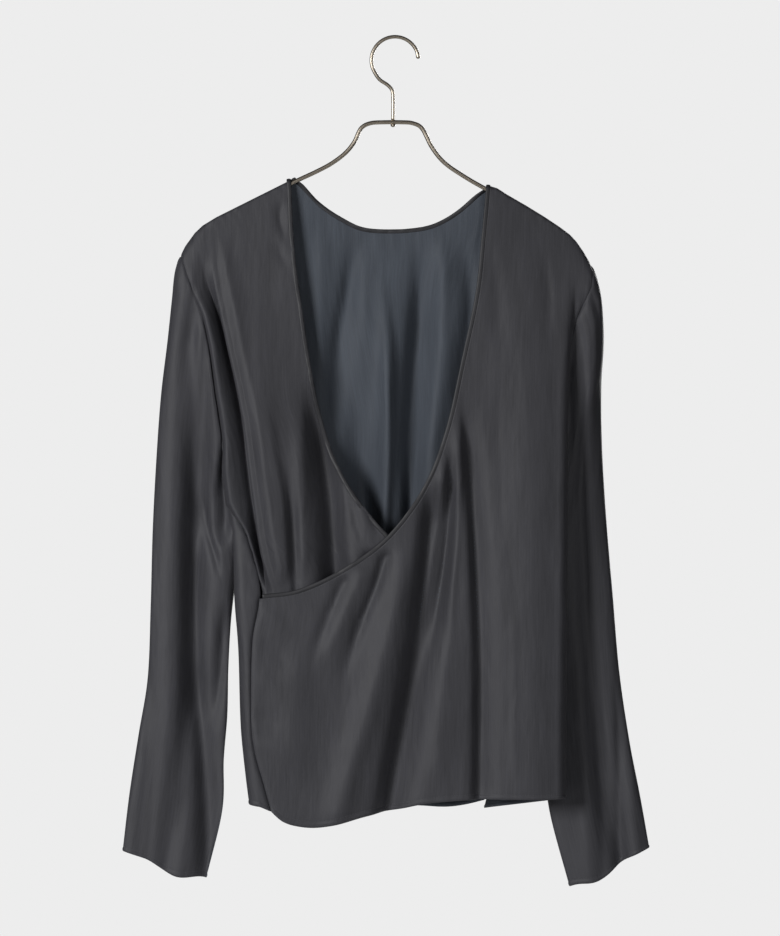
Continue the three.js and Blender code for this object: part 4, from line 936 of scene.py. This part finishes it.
def roll(edge, normals, side, pucker):
    """A rolled strip just outside an edge, on the side that side gives (1 or -1)."""
    length = run_lengths(edge)[-1]
    shares = np.linspace(0, 1, int(length / ROLL_STEP))
    path = smooth_path(edge, shares)
    facing_out = resample(np.column_stack([np.linspace(0, 1, len(edge)), normals]), shares)[:, 1:]
    along = unit(np.gradient(path, axis=0))
    out = unit(np.cross(along, facing_out) * side)
    face = np.cross(out, along)
    lengths = shares * length
    swell = 1 + pucker * ripples(lengths, ROLL_WAVES)
    turn = np.arange(ROLL_FACETS) * 2 * np.pi / ROLL_FACETS
    centre = path + out * (ROLL_WIDTH / 2 - ROLL_LAP)
    rings = (
        centre[:, None]
        + out[:, None] * (np.cos(turn) * ROLL_WIDTH / 2)[None, :, None]
        + face[:, None] * (np.sin(turn)[None, :] * swell[:, None] * ROLL_THICKNESS / 2)[:, :, None]
    )
    return rings, lengths


def tube(name, rings, lengths, girth, material):
    """A closed tube through rings of points, capped at both ends, with its flat places in millimetres."""
    count, facets = rings.shape[:2]
    ids = np.arange(count * facets).reshape(count, facets)
    ring = np.column_stack([ids, ids[:, 0]])
    quads = np.stack([ring[:-1, :-1], ring[:-1, 1:], ring[1:, 1:], ring[1:, :-1]], axis=2).reshape(-1, 4)
    turns = np.linspace(0, girth, facets + 1)
    uv = [
        (turns[j + right], lengths[k + up])
        for k in range(count - 1) for j in range(facets) for right, up in ((0, 0), (1, 0), (1, 1), (0, 1))
    ]
    points = rings.reshape(-1, 3)
    faces = quads.tolist()
    ends = [ids[0][::-1].tolist(), ids[-1].tolist()]
    if signed_volume(points, quads) < 0:
        faces = [face[::-1] for face in faces]
        ends = [face[::-1] for face in ends]
        uv = [uv[k + 3 - j] for k in range(0, len(uv), 4) for j in range(4)]
    uv += [(0, 0)] * (2 * facets)
    return add_mesh(name, points, faces + ends, [material], uv)


neck_rows = int(np.sum(ROWS <= NECK_END))
first_neck, last_neck = (
    BACK_SIDE_COLUMNS + int(np.argmin(np.abs(back_columns - end))) for end in (neck_left, neck_right)
)
neck_edges = {
    "over": (over_grid, np.s_[:neck_rows, 0], -1, 0.04),
    "under": (under_grid, np.s_[:neck_rows, -1], 1, 0.11),
    "back": (back_grid, np.s_[0, first_neck:last_neck + 1], 1, 0.04),
}
FORWARD = np.array([0, -1, 0])
FACING_FORWARD = 0.75
bindings = {}
for where, (grid, part, side, pucker) in neck_edges.items():
    edge, normals = grid[part], normals_of(grid)[part]
    if where != "back":
        normals = normals * np.sign(normals @ FORWARD)[:, None]
        normals = unit(mix(normals, FORWARD, FACING_FORWARD) * (-1 if where == "over" else 1))
    rings, lengths = roll(edge, normals, side, pucker)
    bindings[where] = tube(f"satin_neck_binding_{where}", rings, lengths, ROLL_GIRTH, binding_satin_painted_shade)
    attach(bindings[where], "root")
    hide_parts(f"neck_binding_{where}")

# The stitching
# Single polyester thread in the cloth's colour, topstitched along the hems and cuffs a little above the
# turned edge, and through each front beside its rolled neck binding.
STITCH_SIZES = {"Pitch": 2.6, "Stitch length": 1.9, "Thread width": 0.36, "Seed": 7}
HALF_STITCHES = (0.42, 0.54)
STITCH_ROW = len(HEM_ROWS) - 1 - int(np.argmin(np.abs(HEM_ROWS - HEM_TURN)))
BESIDE_BINDING = 1.2

# A matt thread whose plies give fine light and dark turns, a little paler than the satin's shadows
thread, tree, thread_surface = new_material("spun polyester thread, twisted")
place = add_node(tree, "ShaderNodeTexCoord")
ply = add_node(tree, "ShaderNodeTexNoise", {"Scale": 900.0, "Detail": 1.0}, Vector=place.outputs["Object"])
tinted(tree, thread_surface, ply.outputs["Fac"], "#3a3a3d", "#57575b")
thread_surface.inputs["Roughness"].default_value = 0.6


def product(tree, a, b):
    """The socket of a times b, where b is another socket or a number."""
    times = add_node(tree, "ShaderNodeMath", {"operation": "MULTIPLY"})
    tree.links.new(a, times.inputs[0])
    if isinstance(b, float):
        times.inputs[1].default_value = b
    else:
        tree.links.new(b, times.inputs[1])
    return times.outputs[0]


def stitch_tree():
    """Stitches along edges: short rounded threads laid end to end, a little uneven in length."""
    made = bpy.data.node_groups.new("stitches along a line", "GeometryNodeTree")
    sockets = made.interface
    sockets.new_socket(name="Geometry", in_out="INPUT", socket_type="NodeSocketGeometry")
    for name in ("Pitch", "Stitch length", "Thread width"):
        sockets.new_socket(name=name, in_out="INPUT", socket_type="NodeSocketFloat")
    sockets.new_socket(name="Seed", in_out="INPUT", socket_type="NodeSocketInt")
    sockets.new_socket(name="Geometry", in_out="OUTPUT", socket_type="NodeSocketGeometry")
    given = made.nodes.new("NodeGroupInput").outputs
    line = add_node(made, "GeometryNodeMeshToCurve", (), Mesh=given["Geometry"])
    points = add_node(
        made, "GeometryNodeCurveToPoints", {"mode": "LENGTH"}, Curve=line.outputs["Curve"],
        Length=given["Pitch"],
    )
    turned = add_node(
        made, "FunctionNodeAlignRotationToVector", {"axis": "Z"}, Vector=points.outputs["Tangent"]
    )
    uneven = add_node(made, "FunctionNodeRandomValue", {"data_type": "FLOAT"}, Seed=given["Seed"])
    uneven.inputs[2].default_value, uneven.inputs[3].default_value = HALF_STITCHES
    half_length = product(made, given["Stitch length"], uneven.outputs[1])
    half_width = product(made, given["Thread width"], 0.5)
    size = add_node(made, "ShaderNodeCombineXYZ", (), X=half_width, Y=half_width, Z=half_length)
    bead = add_node(made, "GeometryNodeMeshUVSphere", {"Segments": 8, "Rings": 6, "Radius": 1.0})
    laid = add_node(
        made, "GeometryNodeInstanceOnPoints", (), Points=points.outputs["Points"],
        Instance=bead.outputs["Mesh"], Rotation=turned.outputs["Rotation"], Scale=size.outputs["Vector"],
    )
    real = add_node(made, "GeometryNodeRealizeInstances", (), Geometry=laid.outputs["Instances"])
    threaded = add_node(made, "GeometryNodeSetMaterial", (), Geometry=real.outputs["Geometry"])
    threaded.inputs["Material"].default_value = thread
    add_node(made, "NodeGroupOutput", (), Geometry=threaded.outputs["Geometry"])
    return made


stitches_along = stitch_tree()


def stitched(name, lines):
    """One plain mesh of the stitches along some lines of points in millimetres."""
    points = np.vstack(lines)
    starts = np.cumsum([0] + [len(line) for line in lines])
    edges = [(k, k + 1) for a, b in zip(starts[:-1], starts[1:]) for k in range(a, b - 1)]
    guide_mesh = bpy.data.meshes.new(name + "_guide")
    guide_mesh.from_pydata((points * MM).tolist(), edges, [])
    guide = bpy.data.objects.new(name + "_guide", guide_mesh)
    bpy.context.scene.collection.objects.link(guide)
    sewing = guide.modifiers.new("stitches", "NODES")
    sewing.node_group = stitches_along
    for socket in stitches_along.interface.items_tree:
        if socket.in_out == "INPUT" and socket.name in STITCH_SIZES:
            size = STITCH_SIZES[socket.name]
            sewing[socket.identifier] = size if socket.name == "Seed" else size * MM
    bpy.context.view_layer.update()
    evaluated = guide.evaluated_get(bpy.context.evaluated_depsgraph_get())
    mesh = bpy.data.meshes.new_from_object(evaluated)
    mesh.name = name
    mesh.polygons.foreach_set("use_smooth", np.ones(len(mesh.polygons), bool))
    bpy.data.objects.remove(guide)
    bpy.data.meshes.remove(guide_mesh)
    piece = bpy.data.objects.new(name, mesh)
    bpy.context.scene.collection.objects.link(piece)
    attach(piece, "root")
    return piece


def beside_edge(face, last=False):
    """Points on a panel's outer face a little inside its neck edge."""
    edge, inner = (face[:, -1], face[:, -3]) if last else (face[:, 0], face[:, 2])
    reach = np.linalg.norm(inner - edge, axis=1, keepdims=True)
    return (edge + (inner - edge) * BESIDE_BINDING / reach)[:neck_rows]


for name, face in outer_faces.items():
    row = face[-1 - STITCH_ROW]
    lines = [np.vstack([row, row[:1]]) if "sleeve" in name else row]
    if "front" in name:
        lines.append(beside_edge(face, last="under" in name))
    stitched(name.replace("satin", "stitching"), lines)

# The hanger
# One drawn steel wire bent to the arms, with a separate hook through its middle and a peened rivet
# end below. It is plated a warm nickel and brushed along the wire.
BAR_RADIUS = 2.1
HOOK_WIRE_RADIUS = 1.8
BAR_TOP_Z = -84
HOOK_RADIUS = 23.7
HOOK_CENTRE_X = 2
WIRE_FACETS = 20
WIRE_STEP = 2
WIRE_END = 3
TIP_LENGTH = 1.6
TIP_BULGE = 0.16
BRUSH_MARKS = (0.35, 14)

# Bright metal whose brush marks run along the wire, and break its highlight into fine warm streaks
plated_wire, tree, metal = new_material("brushed nickel-plated wire")
metal.inputs["Metallic"].default_value = 1.0
brushed = drawn_out(tree, BRUSH_MARKS, {"Detail": 3.0})
tinted(tree, metal, brushed, "#a2988a", "#c3b9aa")
dull = add_node(tree, "ShaderNodeMapRange", {"To Min": 0.28, "To Max": 0.42}, Value=brushed)
tree.links.new(dull.outputs["Result"], metal.inputs["Roughness"])


wire_turn = np.arange(WIRE_FACETS) * 2 * np.pi / WIRE_FACETS


def hook_tip(run):
    """The hook's end is rounded over, and just behind it the wire is a little thicker."""
    rounded = np.clip(1 - (1 - np.minimum(run / TIP_LENGTH, 1)) ** 2, 0.02, 1)
    return np.sqrt(rounded) * (1 + TIP_BULGE * ease(7, 3, run))


def on_shoulder(x, lower=0):
    """Where the bar lies under the cloth at x."""
    return (x, shoulder_z(x) - BAR_TO_SHOULDER - lower)


def wire(name, points, radius, end_shape=None):
    """A round wire along points in the plane y = 0; end_shape scales it near its ends."""
    length = run_lengths(np.asarray(points, float))[-1]
    end_rows = WIRE_END / length * np.linspace(0, 1, 7) ** 2
    shares = np.unique(np.concatenate([np.linspace(0, 1, int(length / WIRE_STEP)), end_rows]))
    flat_path = smooth_path(points, shares)
    path = np.column_stack([flat_path[:, 0], np.zeros(len(flat_path)), flat_path[:, 1]])
    in_plane = np.cross(unit(np.gradient(path, axis=0)), (0, 1, 0))
    radii = np.full(len(path), float(radius))
    lengths = shares * length
    if end_shape:
        radii = radii * end_shape(lengths)
    ring = in_plane[:, None] * np.cos(wire_turn)[:, None] + np.array([0, 1, 0]) * np.sin(wire_turn)[:, None]
    return tube(name, path[:, None] + ring * radii[:, None, None], lengths, 2 * np.pi * radius, plated_wire)


bar = wire(
    "wire_bar",
    [
        on_shoulder(-184, 0.5), on_shoulder(-145), on_shoulder(-99), (-78, -134), (-62, -125.5),
        (-48, -115), (-39, -104), (-32, -90), (-23, -85), (-10, BAR_TOP_Z), (10, BAR_TOP_Z), (20, -85),
        (29, -90), (39, -109), (51, -124), (70, -137.5), on_shoulder(93), on_shoulder(139),
        on_shoulder(179, 1.5),
    ],
    BAR_RADIUS,
)
hook_centre_z = -float(np.sqrt((HOOK_RADIUS - HOOK_WIRE_RADIUS) ** 2 - HOOK_CENTRE_X**2))
hook_turn = np.radians(np.linspace(4, 208, 12))
hook = wire(
    "wire_hook",
    [(HOOK_CENTRE_X + HOOK_RADIUS * np.cos(a), hook_centre_z + HOOK_RADIUS * np.sin(a)) for a in hook_turn]
    + [(-13.5, -41), (-5.5, -46.5), (-0.8, -52), (0, -60), (0, BAR_TOP_Z + BAR_RADIUS)],
    HOOK_WIRE_RADIUS,
    hook_tip,
)
RIVET_TOP_Z = BAR_TOP_Z - BAR_RADIUS + 0.1
RIVET_GIRTH = 15
RIVET_RADII_AND_DROPS = [(2.4, 0), (2.4, -1.2), (2.1, -1.9), (1.4, -2.5), (0.5, -2.8)]
rivet_rings = np.array([
    np.column_stack([r * np.cos(wire_turn), r * np.sin(wire_turn), np.full(WIRE_FACETS, RIVET_TOP_Z + drop)])
    for r, drop in RIVET_RADII_AND_DROPS
])
rivet = tube("wire_rivet", rivet_rings, [0, 1.2, 1.9, 2.7, 3.4], RIVET_GIRTH, plated_wire)
for piece, node_name in ((bar, "hanger_bar"), (hook, "hanger_hook"), (rivet, "hanger_rivet")):
    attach(piece, "root")
    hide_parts(node_name)

# The floor, light and camera
# A plain pale floor below the hanging top, a broad soft light in front on the left, a weak one on the
# right and one behind for the back, in a pale surround. The camera faces the front, four metres away.

# Matt rolled paint, with a faint mottle several times coarser than its real texture
floor_paint, tree, paint = new_material("pale floor paint")
mottle = add_node(tree, "ShaderNodeTexCoord")
cloud = add_node(tree, "ShaderNodeTexNoise", {"Scale": 3.0, "Detail": 2.0}, Vector=mottle.outputs["Object"])
tinted(tree, paint, cloud.outputs["Fac"], "#e2e2e1", "#e9e9e8")
paint.inputs["Roughness"].default_value = 0.85
FLOOR_Z = -1250
FLOOR_HALF = 1300
floor_corners = [(x * FLOOR_HALF, y * FLOOR_HALF, FLOOR_Z) for x, y in ((-1, -1), (1, -1), (1, 1), (-1, 1))]
floor = add_mesh("floor", floor_corners, [(0, 1, 2, 3)], [floor_paint])


MIDDLE_OF_TOP = (0, 0, -0.45)


def soft_light(name, place, size, watts):
    """A square soft light at a place in metres, turned to the middle of the top."""
    data = bpy.data.lights.new(name, "AREA")
    data.shape = "SQUARE"
    data.size = size
    data.energy = watts
    light = bpy.data.objects.new(name, data)
    light.location = place
    aim = light.location - Vector(MIDDLE_OF_TOP)
    light.rotation_euler = aim.to_track_quat("Z", "Y").to_euler()
    bpy.context.scene.collection.objects.link(light)


soft_light("broad light from the left", (-2.2, -2.55, 0.2), 1.1, 86)
soft_light("weak light from the right", (1.5, -3.0, 0.1), 1.4, 19)
soft_light("light behind, for the back", (1.4, 3.0, 0.2), 1.4, 70)

SURROUND_SEEN = 1.0
SURROUND_LIGHT = 0.045
world = bpy.data.worlds.new("pale surround")
bpy.context.scene.world = world
world.use_nodes = True
tree = world.node_tree
tree.nodes.clear()
seen = add_node(tree, "ShaderNodeBackground", {"Color": linear("#ededed"), "Strength": SURROUND_SEEN})
fill = add_node(tree, "ShaderNodeBackground", {"Color": linear("#ededed"), "Strength": SURROUND_LIGHT})
rays = add_node(tree, "ShaderNodeLightPath")
blend = tree.nodes.new("ShaderNodeMixShader")
tree.links.new(rays.outputs["Is Camera Ray"], blend.inputs[0])
tree.links.new(fill.outputs[0], blend.inputs[1])
tree.links.new(seen.outputs[0], blend.inputs[2])
tree.links.new(blend.outputs[0], add_node(tree, "ShaderNodeOutputWorld").inputs["Surface"])
bpy.context.scene.view_settings.view_transform = "Standard"

# The picture is as high as the photo's 936 pixels at 1 mm each, on the plane of the top's front
SENSOR = 36
FRONT_PLANE_AWAY = 3.985
PICTURE_HEIGHT = 0.936
camera_data = bpy.data.cameras.new("camera")
camera_data.sensor_width = SENSOR
camera_data.lens = SENSOR * FRONT_PLANE_AWAY / PICTURE_HEIGHT
camera = bpy.data.objects.new("camera", camera_data)
camera.location = (-0.003, -4.0, -0.431)
camera.rotation_euler = (np.pi / 2, 0, 0)
bpy.context.scene.collection.objects.link(camera)
bpy.context.scene.camera = camera
